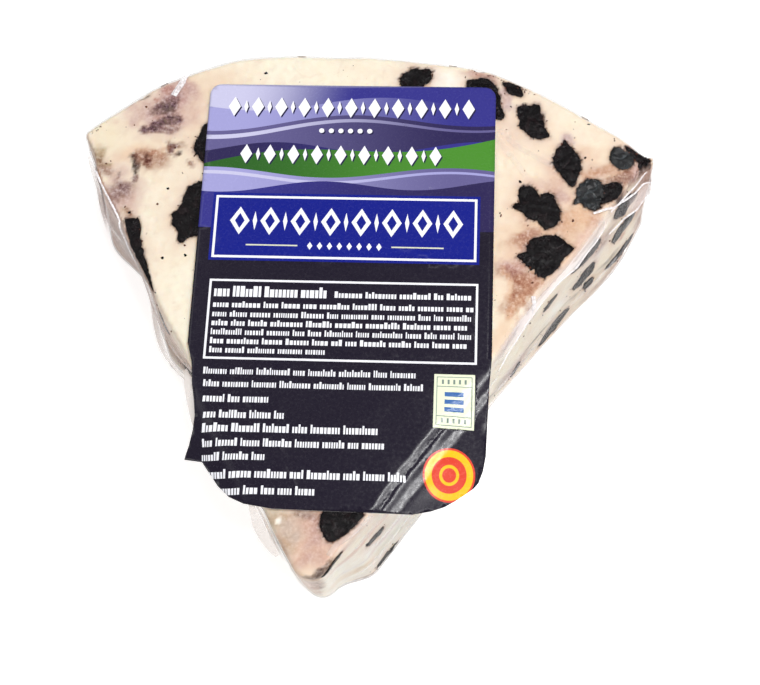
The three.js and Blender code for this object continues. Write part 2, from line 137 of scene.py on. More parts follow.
def soft_noise(points, size, seed):
    """Smooth noise from -1 to 1 with features of the given size in millimetres."""
    values = lattice(seed)
    scaled = points / size
    cell = np.floor(scaled).astype(int)
    share = scaled - cell
    share = share * share * (3.0 - 2.0 * share)
    total = np.zeros(len(points))
    for corner in range(8):
        offset = np.array([corner & 1, (corner >> 1) & 1, (corner >> 2) & 1])
        index = (cell + offset) % 32
        weight = np.prod(np.where(offset, share, 1.0 - share), axis=1)
        total += weight * values[index[:, 0], index[:, 1], index[:, 2]]
    return total * 2.0 - 1.0


def layered_noise(points, size, seed, layers=3):
    total = np.zeros(len(points))
    strength = 1.0
    reach = 0.0
    for layer in range(layers):
        total += strength * soft_noise(points, size / 2 ** layer, seed + layer)
        reach += strength
        strength *= 0.5
    return total / reach * 1.6


def make_object(name, points, faces, material):
    """A mesh object from plan points in millimetres."""
    mesh = bpy.data.meshes.new(name)
    places = (np.asarray(points) + SHARP_POINT) * MM
    mesh.from_pydata(places.tolist(), [], [list(map(int, face)) for face in faces])
    mesh.update()
    mesh.shade_smooth()
    piece = bpy.data.objects.new(name, mesh)
    bpy.context.collection.objects.link(piece)
    mesh.materials.append(material)
    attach(piece, "root")
    return piece


def grid_faces(rows, columns, first=0):
    """The squares of a grid whose points are numbered row by row."""
    faces = []
    for row in range(rows):
        for column in range(columns):
            a = first + row * (columns + 1) + column
            faces.append((a, a + 1, a + columns + 2, a + columns + 1))
    return faces


def paint(piece, colours, domain="POINT"):
    """Stores linear colours, one for each point or corner, as the attribute that materials read."""
    layer = piece.data.color_attributes.new("print", "FLOAT_COLOR", domain)
    values = np.ones((len(colours), 4), dtype=np.float32)
    values[:, :3] = colours
    layer.data.foreach_set("color", values.ravel())


def read_mesh(mesh):
    count = len(mesh.vertices)
    places = np.empty(count * 3)
    normals = np.empty(count * 3)
    mesh.vertices.foreach_get("co", places)
    mesh.vertices.foreach_get("normal", normals)
    faces = [tuple(polygon.vertices) for polygon in mesh.polygons]
    return places.reshape(-1, 3) / MM - SHARP_POINT, normals.reshape(-1, 3), faces


# The wedge's surface

def bearing(angle):
    return np.array([math.sin(angle), math.cos(angle)])


def rind_radius(turn):
    start, depth, power = RIND_EASE[1 if turn > 0 else -1]
    share = max(abs(turn) - start, 0.0) / (HALF_ANGLE - start)
    radius = WHEEL_RADIUS - depth * share ** power
    for at, height, width in RIND_BUMPS:
        radius += height * math.exp(-((turn - at) / width) ** 2)
    return radius


def rind_place(turn):
    step = 0.001
    point = bearing(turn) * rind_radius(turn)
    ahead = bearing(turn + step) * rind_radius(turn + step) - point
    ahead /= np.linalg.norm(ahead)
    return point, np.array([-ahead[1], ahead[0]])


def corner_place(hand, radius, recess):
    """The circle of this radius that touches the round side and the drawn-in straight side."""
    inner = HALF_ANGLE / 2
    outer = HALF_ANGLE
    for _ in range(40):
        turn = hand * (inner + outer) / 2
        point, normal = rind_place(turn)
        centre = point - normal * radius
        if hand * centre[0] * COS_HALF - centre[1] * SIN_HALF > -radius - recess:
            outer = abs(turn)
        else:
            inner = abs(turn)
    return centre, turn, math.atan2(normal[0], normal[1])


def side_lean(hand, along):
    """How far the base of a straight side stands out at this distance from the sharp point."""
    mean, swing, peak, wave, fade = SIDE_LEAN[hand]
    kept = 1.0 if hand > 0 else 1.0 - smooth_step(0.0, SWING_FADE, along - SWING_END)
    full = mean + kept * swing * np.cos(2 * math.pi * (along - peak) / wave)
    share = smooth_step(0.0, fade, along - TIP_RADIUS * COS_HALF / SIN_HALF)
    return TIP_LEAN + (full - TIP_LEAN) * share


def side_recess(hand, along, end):
    """How far a straight side is drawn in at this distance from the sharp point."""
    if hand > 0:
        return 0.0
    return LEFT_RECESS * float(smooth_step(LEFT_RECESS_START, end, along))


def wedge_outline():
    """Points, outward normals, and the wall's lean and pinch, round the wedge."""
    points = []
    normals = []
    leans = []
    pinches = []

    def add(point, normal, lean, pinch=0.0):
        points.append(point)
        normals.append(normal)
        leans.append(lean)
        pinches.append(pinch)

    def add_arc(centre, radius, start, end, steps, lean_start, lean_end, pinch=0.0):
        for i in range(steps):
            share = i / steps
            normal = bearing(start + (end - start) * share)
            lean = lean_start + (lean_end - lean_start) * share
            add(centre + normal * radius, normal, lean, pinch * math.sin(math.pi * share))

    def add_straight(hand, start, end, normal, steps, far):
        for i in range(steps):
            point = start + (end - start) * i / steps
            along = hand * point[0] * SIN_HALF + point[1] * COS_HALF
            add(point - normal * side_recess(hand, along, far), normal, float(side_lean(hand, along)))

    square = math.pi / 2
    tip = np.array([0.0, TIP_RADIUS / SIN_HALF])
    right, right_turn, right_heading = corner_place(1, RIGHT_CORNER_RADIUS, 0.0)
    left, left_turn, left_heading = corner_place(-1, LEFT_CORNER_RADIUS, LEFT_RECESS)
    right_normal = bearing(HALF_ANGLE + square)
    left_normal = bearing(-HALF_ANGLE - square)
    right_end = right + right_normal * RIGHT_CORNER_RADIUS
    left_end = left + left_normal * (LEFT_CORNER_RADIUS + LEFT_RECESS)
    right_far = np.linalg.norm(right_end)
    left_far = np.linalg.norm(left_end)
    right_lean = float(side_lean(1, right_far))
    left_lean = float(side_lean(-1, left_far))
    add_arc(tip, TIP_RADIUS, math.pi, HALF_ANGLE + square, 10, TIP_LEAN, TIP_LEAN)
    add_straight(1, tip + right_normal * TIP_RADIUS, right_end, right_normal, 90, right_far)
    add_arc(right, RIGHT_CORNER_RADIUS, HALF_ANGLE + square, right_heading, 10, right_lean, RIND_LEAN, PINCH)
    rind_steps = 110
    for i in range(rind_steps):
        add(*rind_place(right_turn + (left_turn - right_turn) * i / rind_steps), RIND_LEAN)
    add_arc(left, LEFT_CORNER_RADIUS, left_heading, -HALF_ANGLE - square, 10, RIND_LEAN, left_lean)
    add_straight(-1, left_end, tip + left_normal * TIP_RADIUS, left_normal, 90, left_far)
    add_arc(tip, TIP_RADIUS, -HALF_ANGLE - square, -math.pi, 10, TIP_LEAN, TIP_LEAN)
    return np.array(points), np.array(normals), np.array(leans), np.array(pinches)


def side_wave(points, z):
    long = np.sin(points[:, 0] * 0.11 + points[:, 1] * 0.17 + z * 0.08)
    short = np.sin(points[:, 1] * 0.31 - points[:, 0] * 0.23 - z * 0.21 + 1.3)
    return WAVE_HEIGHT * (LONG_WAVE_SHARE * long + (1 - LONG_WAVE_SHARE) * short)


def wedge_rings():
    outline, normals, leans, pinches = wedge_outline()
    levels = []
    round_steps = 5
    for i in range(round_steps + 1):
        turn = math.pi / 2 * i / round_steps
        levels.append((BASE_EDGE_RADIUS * (1 - math.cos(turn)), BASE_EDGE_RADIUS * (1 - math.sin(turn))))
    for share in np.linspace(0.08, 0.9, 12):
        levels.append((HEIGHT * share, 0.0))
    for i in range(round_steps + 1):
        turn = math.pi / 2 * i / round_steps
        z = HEIGHT - TOP_EDGE_RADIUS * (1 - math.sin(turn))
        levels.append((z, TOP_EDGE_RADIUS * (1 - math.cos(turn))))
    rings = []
    for z, inset in levels:
        out = leans * (1 - z / HEIGHT) - inset + side_wave(outline, z)
        out += pinches * float(smooth_step(0.0, HEIGHT, z))
        plan = outline + normals * out[:, None]
        rings.append(np.column_stack([plan, np.full(len(plan), z)]))
    return rings


def wedge_mesh(voxel):
    """The wedge as an even mesh of small squares: its points, normals and faces."""
    rings = wedge_rings()
    count = len(rings[0])
    points = np.vstack(rings)
    faces = []
    for level in range(len(rings) - 1):
        for i in range(count):
            after = (i + 1) % count
            low = level * count
            high = low + count
            faces.append((low + i, low + after, high + after, high + i))
    faces.append(tuple(range(count - 1, -1, -1)))
    faces.append(tuple(range(len(points) - count, len(points))))
    mesh = bpy.data.meshes.new("wedge_shape")
    mesh.from_pydata(((points + SHARP_POINT) * MM).tolist(), [], faces)
    shape = bpy.data.objects.new("wedge_shape", mesh)
    bpy.context.collection.objects.link(shape)
    remesh = shape.modifiers.new("even", "REMESH")
    remesh.mode = "VOXEL"
    remesh.voxel_size = voxel * MM
    remesh.adaptivity = 0.0
    evaluated = shape.evaluated_get(bpy.context.evaluated_depsgraph_get())
    even = bpy.data.meshes.new_from_object(evaluated)
    result = read_mesh(even)
    bpy.data.objects.remove(shape)
    bpy.data.meshes.remove(even)
    bpy.data.meshes.remove(mesh)
    return result


# Places on the wedge's faces

def face_frame(face, u, v):
    """Origin and the along, up and outward directions at a place on a face, as in the CAD model."""
    if face == "top":
        return np.array([u, v, HEIGHT]), np.array([1.0, 0, 0]), np.array([0, 1.0, 0]), np.array([0, 0, 1.0])
    if face == "under":
        return np.array([u, v, 0.0]), np.array([-1.0, 0, 0]), np.array([0, 1.0, 0]), np.array([0, 0, -1.0])
    up = np.array([0, 0, 1.0])
    if face == "rind":
        turn = math.radians(u)
        outward = np.array([math.sin(turn), math.cos(turn), 0])
        origin = outward * (rind_radius(turn) + RIND_LEAN * (1 - v / HEIGHT))
    else:
        hand = 1.0 if face == "right" else -1.0
        outward = np.array([hand * COS_HALF, -SIN_HALF, 0])
        lean = float(side_lean(int(hand), u)) * (1 - v / HEIGHT) - side_recess(hand, u, WHEEL_RADIUS)
        origin = np.array([hand * SIN_HALF, COS_HALF, 0]) * u + outward * lean
    return origin + up * v, np.cross(up, outward), up, outward


# Berries: face, place, length, width, turn, and where its shape shows clearly the points round its
# rim, in millimetres from its place.
BERRIES = [
    ("top", -30.6, 93.6, 8.8, 6.4, 85, [
        (-1.3, 4.1), (-2, 2.1), (-2.3, 0.9), (-2.8, -0.2), (-2.9, -2.1), (-2, -3.3), (-1.1, -4.7),
        (0.2, -5), (1.6, -2.3), (1.4, 1.9), (0.2, 4)]),
    ("top", -31.6, 77.4, 14, 8.6, 97, [
        (0.9, 7), (-1, 5.9), (-1.9, 5.4), (-2.3, 4.2), (-2.6, 1.7), (-3.5, 0), (-4.5, -0.8), (-4.1, -2),
        (-4.4, -3), (-3.2, -4), (-2.5, -5), (-2.6, -6.9), (-1.6, -7.3), (-0.8, -6), (1.4, -5.1),
        (2.9, -3.3), (3, 2.7)]),
    ("top", -42.2, 68.4, 14, 3.4, 122, [
        (-3.6, 6.2), (-2.1, 6.6), (-0.4, 6.4), (-0.1, 5.4), (-0, 4.3), (0.1, 2.1), (0.7, 0.3), (1.5, -1.4),
        (2.7, -4.8), (3.8, -7.8), (4.7, -10.4), (4.2, -10.6), (2.6, -7.7), (0.9, -4.5), (-0.7, -1.6),
        (-2, 1.5), (-2.9, 3.9)]),
    ("top", 11.4, 111, 6.2, 4.4, -12, [
        (-3.1, -2), (-3.1, 0.5), (-2.6, 1.4), (-1.7, 1.6), (-1.2, 2.4), (-0.2, 2.6), (0.7, 2.3), (2.7, 2.5),
        (3, 0.1), (1.4, -1.4), (0.6, -3.3), (-2, -3.4)]),
    ("top", 26, 108.6, 12.5, 6.6, -48, [
        (-4, 2.8), (-1.9, 3.1), (-1.1, 3.7), (1.3, 2.7), (2.6, 0.2), (3.3, -2.7), (4.5, -5.3), (3.7, -5.9),
        (2.5, -6), (0.7, -2.1), (-0.9, -0.6), (-3.6, 0.4)]),
    ("top", 32.2, 110.8, 4.4, 2.4, -38, [
        (-2.8, 0.6), (-1.7, 0.8), (0, 0.4), (1.2, -0.7), (1.7, -1.9), (1.5, -2.6), (0.2, -2.2),
        (-1.2, -1.9), (-1.9, -0.5)]),
    ("top", 36.5, 102.3, 8.8, 5.6, -62, [
        (-3.5, 3.6), (-1.8, 4.1), (-0.9, 3.8), (0, 4.4), (1.1, 4.2), (1.2, 2.5), (1.8, 0.9), (2.2, -0.9),
        (3.5, -2.8), (2.6, -3.1), (1.2, -3.6), (-0.7, -2.9), (-1.7, -1.9), (-2.9, -1), (-2.8, 0.4),
        (-3.4, 2)]),
    ("top", 44, 93.6, 11.2, 4.8, -72, [
        (-1.1, 5.4), (-0.1, 4.2), (1.1, 2.7), (2.4, 0.9), (2.7, -0.6), (2.3, -2.2), (1.9, -3.8),
        (1.5, -5.5), (0.5, -5), (-0.5, -3.8), (-1.5, -2.2), (-2.7, 1.6), (-2.5, 3), (-1.3, 4)]),
    ("top", 55, 95.2, 5.2, 4.4, -30, [
        (-2.4, 1.3), (-2, 2.4), (-0.8, 2.6), (0.4, 1.8), (1.8, 1.3), (2.4, -0.2), (1.9, -1.5), (0.7, -2.3),
        (-0.9, -2), (-2, -1)]),
    ("top", 59, 95.8, 6.2, 2.6, -38, [
        (-3.6, 2.7), (-2, 2.2), (-0.4, 1.4), (1.5, 0.1), (2, -1.1), (0.9, -3.4), (0.2, -3), (-0.5, -1.2),
        (-1.5, -0.3), (-2.7, 1)]),
    ("top", 47.9, 86.8, 6, 5.8, 20, [
        (-1.8, 0.7), (-0.6, 2.6), (0.5, 3.3), (2.4, 3.4), (3.3, 2.4), (3.9, 1), (3.2, -0.8), (2, -3.5),
        (0.3, -2.8), (-0.9, -1.9), (-2.4, -2.5), (-1.6, -0.9)]),
    ("top", 53.4, 88.2, 4.4, 3.4, 20, [
        (-2, 0.6), (-0.8, 1.3), (0.8, 1.6), (2, 0.7), (2.4, -0.6), (1.9, -1.7), (0.5, -2.3), (-1.3, -2.9),
        (-2.2, -3.4), (-2.6, -1.5)]),
    ("top", 38.2, 83.2, 9.4, 8.6, -30, [
        (-3.8, 4), (-2.9, 4.5), (-0.8, 4.2), (-0.1, 3.2), (0.5, 2.1), (1.3, 3.3), (3.2, 2.9), (3.7, 1.4),
        (4.5, -0.1), (4.8, -1.6), (4.4, -3.2), (3.6, -4.1), (1.7, -4.6), (0.3, -2.9), (-2.9, -1.1),
        (-5, -0.2), (-3.5, 0.8), (-3.7, 2.2)]),
    ("top", 39.8, 72.6, 11.6, 8.2, 8, [
        (-5.1, -0.3), (-3.1, 0.5), (-3, 1.6), (-2.5, 3.2), (-1.1, 3.9), (0.3, 4.4), (3.6, 4.1), (4.9, 2.9),
        (6.5, 2), (4.6, 0.2), (3.9, -1), (2.8, -3.1), (0.4, -4.8), (-0.6, -4.4), (-1.3, -3.1),
        (-3.6, -1.5)]),
    ("top", 5, 15, 7.8, 4.8, 6, [
        (-3.9, 1.4), (-3.8, -0.6), (-3, -2.5), (-2, -3.6), (-0.8, -3.3), (0.3, -2.5), (1.9, -1.1),
        (3.2, 0.5), (4.3, 1.8), (3.4, 3.7), (0.2, 4.2), (-2.9, 3.2)]),
    ("right", 105, 20, 9.5, 4.6, -28, None),
    ("right", 103.5, 13, 10.2, 3.2, -11, None),
    ("right", 103, 4.4, 12, 2.4, -16, None),
    ("right", 90.8, 21.6, 9.6, 4.6, -9, None),
    ("right", 89.8, 13, 8.6, 4.2, 15, None),
    ("right", 91, 7.6, 3.4, 2.6, 10, None),
    ("right", 79.3, 4, 9.7, 3.6, 12, None),
    ("right", 78.5, 18.6, 4, 1.8, 6, None),
    ("right", 66.5, 5.8, 5, 2, 49, None),
    ("right", 19, 16.2, 4.4, 2, -7, None),
    ("right", 19.2, 1.8, 6, 2.6, -12, None),
    ("right", 8.4, 25, 6, 2.6, 8, None),
    ("left", 13.5, 13, 7.4, 5, -8, None),
    ("left", 27, 9.4, 7.4, 6.2, 20, None),
    ("left", 38, 5.2, 5.6, 4.4, 10, None),
    ("left", 44, 18.6, 8.8, 5.6, -12, None),
    ("left", 58, 7.2, 6.6, 6.8, 0, None),
    ("left", 66, 20.2, 5, 4.4, 35, None),
    ("rind", -25, 10, 8.8, 6.6, 12, None),
    ("rind", -17.5, 20.4, 6.2, 5.2, -20, None),
    ("rind", -10, 7.6, 10.4, 6, 4, None),
    ("rind", -2, 17.8, 8.2, 7.4, 30, None),
    ("rind", 5.5, 6.2, 5.6, 5.2, 0, None),
    ("rind", 12.5, 18.6, 9.6, 5.4, -14, None),
    ("rind", 19.5, 8.8, 7.4, 7, 22, None),
    ("rind", 26.5, 19.4, 6, 5, 0, None),
]

# Berries that lie open on the underside, which the photograph doesn't show
UNDERSIDE_BERRIES = [
    ("under", 2, 24, 8.0, 6.0, 30, None),
    ("under", -11, 44, 9.6, 6.4, -20, None),
    ("under", 14, 52, 6.4, 5.6, 60, None),
    ("under", -2, 68, 10.4, 7.0, 12, None),
    ("under", 30, 74, 8.6, 7.2, -40, None),
    ("under", -30, 79, 7.0, 5.8, 75, None),
    ("under", 9, 88, 8.8, 6.0, 5, None),
    ("under", -17, 98, 10.2, 6.4, -15, None),
    ("under", 44, 96, 6.6, 6.0, 40, None),
    ("under", -44, 96, 7.6, 5.2, 0, None),
    ("under", 20, 105, 5.8, 5.2, 20, None),
]

OUTLINE_STEPS = 144
BERRY_RINGS = 11
EASING_ROUNDS = 12
HEADINGS = np.arange(OUTLINE_STEPS) * 2 * math.pi / OUTLINE_STEPS


def eased(reach):
    """A closed outline with each place drawn towards its neighbours."""
    return 0.5 * reach + 0.25 * (np.roll(reach, 1) + np.roll(reach, -1))


def berry_outline(berry, seed):
    """The berry's reach in each of OUTLINE_STEPS directions round its place."""
    _, _, _, length, width, turn, rim = berry
    random = np.random.default_rng(900 + seed)
    roughness = min(1.0, width / 5.0)
    if rim:
        across, up = np.array(rim).T
        around = np.arctan2(up, across)
        order = np.argsort(around)
        reach = np.interp(HEADINGS, around[order], np.hypot(across, up)[order], period=2 * math.pi)
    else:
        local = HEADINGS - math.radians(turn)
        reach = 1 / np.hypot(np.cos(local) / (length / 2), np.sin(local) / (width / 2))
        for wave in (2, 3, 4, 5):
            reach *= 1 + random.uniform(0.03, 0.1) * np.cos(wave * (HEADINGS - random.uniform(0, 6.28)))
    reach = eased(reach)
    ragged = np.zeros(OUTLINE_STEPS)
    for wave in range(8, 60, 4):
        ragged += np.cos(wave * HEADINGS + random.uniform(0, 6.28)) * random.uniform(0.4, 1.0) / wave ** 0.6
    spikes = random.uniform(-0.12, 0.12, OUTLINE_STEPS)
    spikes += np.where(random.random(OUTLINE_STEPS) < 0.07, random.uniform(0.2, 0.55, OUTLINE_STEPS), 0.0)
    return np.maximum(reach + roughness * (0.15 * ragged + spikes), 0.4)


def berry_distance(points, berry, outline):
    """How far points lie outside a berry's outline, measured on its face, and how far off the face."""
    origin, along, up, outward = face_frame(*berry[:3])
    offset = points - origin
    x = offset @ along
    y = offset @ up
    depth = np.abs(offset @ outward)
    reach = np.interp(np.arctan2(y, x), HEADINGS, outline, period=2 * math.pi)
    return np.hypot(x, y) - reach, depth


def nearest_berry(points, berries, outlines):
    """The distance from each point to the nearest berry's outline, negative inside."""
    nearest = np.full(len(points), 50.0)
    for berry, outline in zip(berries, outlines):
        origin = face_frame(*berry[:3])[0]
        close = np.flatnonzero(np.linalg.norm(points - origin, axis=1) < outline.max() + 9.0)
        distance, depth = berry_distance(points[close], berry, outline)
        distance = np.where(depth < 4.5, distance, 50.0)
        nearest[close] = np.minimum(nearest[close], distance)
    return nearest


# Materials

class Graph:
    """The shader nodes of one material."""

    def __init__(self, name):
        self.material = bpy.data.materials.new(name)
        self.material.use_nodes = True
        self.tree = self.material.node_tree
        self.tree.nodes.clear()

    def feed(self, socket, value):
        if isinstance(value, bpy.types.NodeSocket):
            self.tree.links.new(value, socket)
        else:
            socket.default_value = value

    def add(self, kind, **values):
        """A node with values or other nodes' sockets on its inputs; _ in a name stands for a space."""
        node = self.tree.nodes.new(kind)
        for name, value in values.items():
            self.feed(node.inputs[name.replace("_", " ")], value)
        return node

    def noise(self, scale, detail, distortion=0.0):
        place = self.add("ShaderNodeTexCoord").outputs["Object"]
        texture = self.add("ShaderNodeTexNoise", Vector=place, Scale=scale, Detail=detail,
                           Distortion=distortion)
        return texture.outputs["Fac"]

    def spread(self, source, low, high, out_low, out_high):
        """Takes values from low to high over to values from out_low to out_high."""
        ranged = self.add("ShaderNodeMapRange", Value=source, From_Min=low, From_Max=high, To_Min=out_low,
                          To_Max=out_high)
        return ranged.outputs["Result"]

    def bump(self, source, distance, strength):
        bump = self.add("ShaderNodeBump", Height=source, Distance=distance * MM, Strength=strength)
        return bump.outputs["Normal"]

    def attribute(self, name, output):
        node = self.add("ShaderNodeAttribute")
        node.attribute_name = name
        return node.outputs[output]

    def combine(self, operation, first, second):
        """The sum or the product, kept from 0 to 1."""
        node = self.add("ShaderNodeMath")
        node.operation = operation
        node.use_clamp = True
        self.feed(node.inputs[0], first)
        self.feed(node.inputs[1], second)
        return node.outputs[0]

    def mix(self, factor, first, second):
        """Mixes two colours, each a socket or a linear colour."""
        node = self.add("ShaderNodeMix")
        node.data_type = "RGBA"
        self.feed(node.inputs["Factor"], factor)
        for value, name in ((first, "A"), (second, "B")):
            socket = [s for s in node.inputs if s.name == name and s.type == "RGBA"][0]
            self.feed(socket, value if isinstance(value, bpy.types.NodeSocket) else (*value, 1.0))
        return [s for s in node.outputs if s.type == "RGBA"][0]

    def finish(self, surface):
        self.add("ShaderNodeOutputMaterial", Surface=surface.outputs[0])
        return self.material


def paste_material():
    """Smooth moist cheese: painted stains, faint curd mottling and fine pits."""
    graph = Graph("cheese_paste")
    painted = graph.attribute("print", "Color")
    # Stains break up into fine dark and light grains, and the pale cheese hardly does
    uneven = graph.spread(graph.noise(1500.0, 8.0, 0.1), 0.32, 0.68, 0.6, 1.75)
    grains = graph.add("ShaderNodeGamma", Color=painted, Gamma=uneven).outputs["Color"]
    grey = graph.add("ShaderNodeRGBToBW", Color=painted).outputs["Val"]
    broken = graph.mix(graph.spread(grey, 0.66, 0.3, 0.0, 1.0), painted, grains)
    curd = graph.spread(graph.noise(700.0, 5.0), 0.4, 0.75, 0.0, 0.2)
    veins = graph.spread(graph.noise(210.0, 8.0, 1.4), 0.58, 0.74, 0.0, 0.2)
    colour = graph.mix(veins, graph.mix(curd, broken, linear(226, 196, 168)), linear(216, 178, 152))
    fine = graph.bump(graph.noise(1500.0, 4.0), 0.04, 0.4)
    coarse = graph.add("ShaderNodeBump", Height=graph.noise(380.0, 5.0), Distance=0.10 * MM, Strength=0.4,
                       Normal=fine)
    return graph.finish(graph.add(
        "ShaderNodeBsdfPrincipled", Base_Color=colour, Roughness=0.5, Specular_IOR_Level=0.3,
        Subsurface_Weight=0.3, Subsurface_Radius=(1.0, 0.7, 0.45), Subsurface_Scale=0.9 * MM,
        Normal=coarse.outputs["Normal"],
    ))


def berry_material(name, dark, light, roughness, shine):
    """Wrinkled dried berry skin."""
    graph = Graph(name)
    mottle = graph.spread(graph.noise(620.0, 6.0, 0.8), 0.5, 0.8, 0.0, 1.0)
    gloss = graph.spread(graph.noise(800.0, 3.0), 0.3, 0.7, roughness - 0.1, roughness + 0.15)
    wrinkles = graph.bump(graph.noise(900.0, 6.0, 1.6), 0.3, 1.0)
    return graph.finish(graph.add(
        "ShaderNodeBsdfPrincipled", Base_Color=graph.mix(mottle, dark, light), Roughness=gloss,
        Specular_IOR_Level=shine, Normal=wrinkles,
    ))


def label_material():
    """Satin paper whose colours are painted on the mesh."""
    graph = Graph("label_paper")
    ink = graph.spread(graph.noise(2600.0, 3.0), 0.3, 0.7, 0.0, 0.012)
    colour = graph.mix(ink, graph.attribute("print", "Color"), linear(190, 180, 196))
    gloss = graph.spread(graph.noise(1500.0, 5.0), 0.35, 0.65, 0.2, 0.3)
    grain = graph.bump(graph.noise(1800.0, 5.0), 0.014, 0.3)
    return graph.finish(graph.add(
        "ShaderNodeBsdfPrincipled", Base_Color=colour, Roughness=gloss, Specular_IOR_Level=0.3, Normal=grain,
    ))


def film_material(name, haze, roughness, strength, tint, cloud=520.0, unevenness=0.45):
    """Clear film: it shows what is behind it, shines more the flatter it is looked at, and is milky
    where it is creased; the near-white milk of the crease ridges is a painted highlight. A mesh's
    attribute "thin" takes all this away towards its rim."""
    graph = Graph(name)
    gloss = graph.spread(graph.noise(300.0, 3.0), 0.3, 0.7, roughness, roughness + 0.1)
    creases = graph.bump(graph.noise(180.0, 4.0, 1.5), 0.25, 0.5)
    shine = graph.add("ShaderNodeBsdfPrincipled", Base_Color=(*tint, 1.0), Specular_IOR_Level=0.7,
                      Roughness=gloss, Normal=creases)
    fresnel = graph.add("ShaderNodeFresnel", IOR=1.42, Normal=creases).outputs[0]
    clouds = graph.noise(cloud, 6.0, 5.5 * unevenness)
    milk = graph.spread(clouds, 0.35, 0.65, (1 - unevenness) * haze, min((1 + unevenness) * haze, 1.0))
    amount = graph.combine("ADD", milk, graph.spread(fresnel, 0.0, 1.0, 0.0, strength))
    kept = graph.spread(graph.attribute("thin", "Fac"), 0.0, 1.0, 1.0, 0.0)
    surface = graph.add("ShaderNodeMixShader")
    graph.feed(surface.inputs[0], graph.combine("MULTIPLY", amount, kept))
    graph.feed(surface.inputs[1], graph.add("ShaderNodeBsdfTransparent").outputs[0])
    graph.feed(surface.inputs[2], shine.outputs[0])
    return graph.finish(surface)


def floor_material():
    graph = Graph("floor")
    return graph.finish(graph.add(
        "ShaderNodeBsdfPrincipled", Base_Color=(0.92, 0.92, 0.92, 1.0), Roughness=0.8,
        Emission_Color=(1.0, 1.0, 1.0, 1.0), Emission_Strength=FLOOR_GLOW,
    ))


# The cheese

CREAM = linear(250, 241, 221)
WARM = linear(240, 219, 194)
PEACH = linear(226, 186, 152)
TAN = linear(194, 146, 118)
BROWN = linear(128, 78, 62)
RUST = linear(176, 112, 94)
DARK_TAN = linear(164, 112, 92)
# A dull dark pink: painted shade over the left side, and darker patches on the right side
DUSK = linear(170, 138, 134)
ASH = linear(196, 188, 182)
WHITE = linear(255, 252, 244)
PINK = linear(220, 186, 172)
MAUVE = linear(202, 168, 164)
LILAC = linear(198, 178, 184)
PLUM = linear(104, 70, 82)
SOOT = linear(48, 42, 44)
TEAL = linear(34, 42, 48)
OLIVE = linear(168, 146, 112)
YELLOW = linear(243, 230, 204)
# Grey of the painted shade of the film's wrinkles on the sides
STREAK_GREY = linear(190, 180, 176)
BERRY_RIM = linear(72, 44, 42)
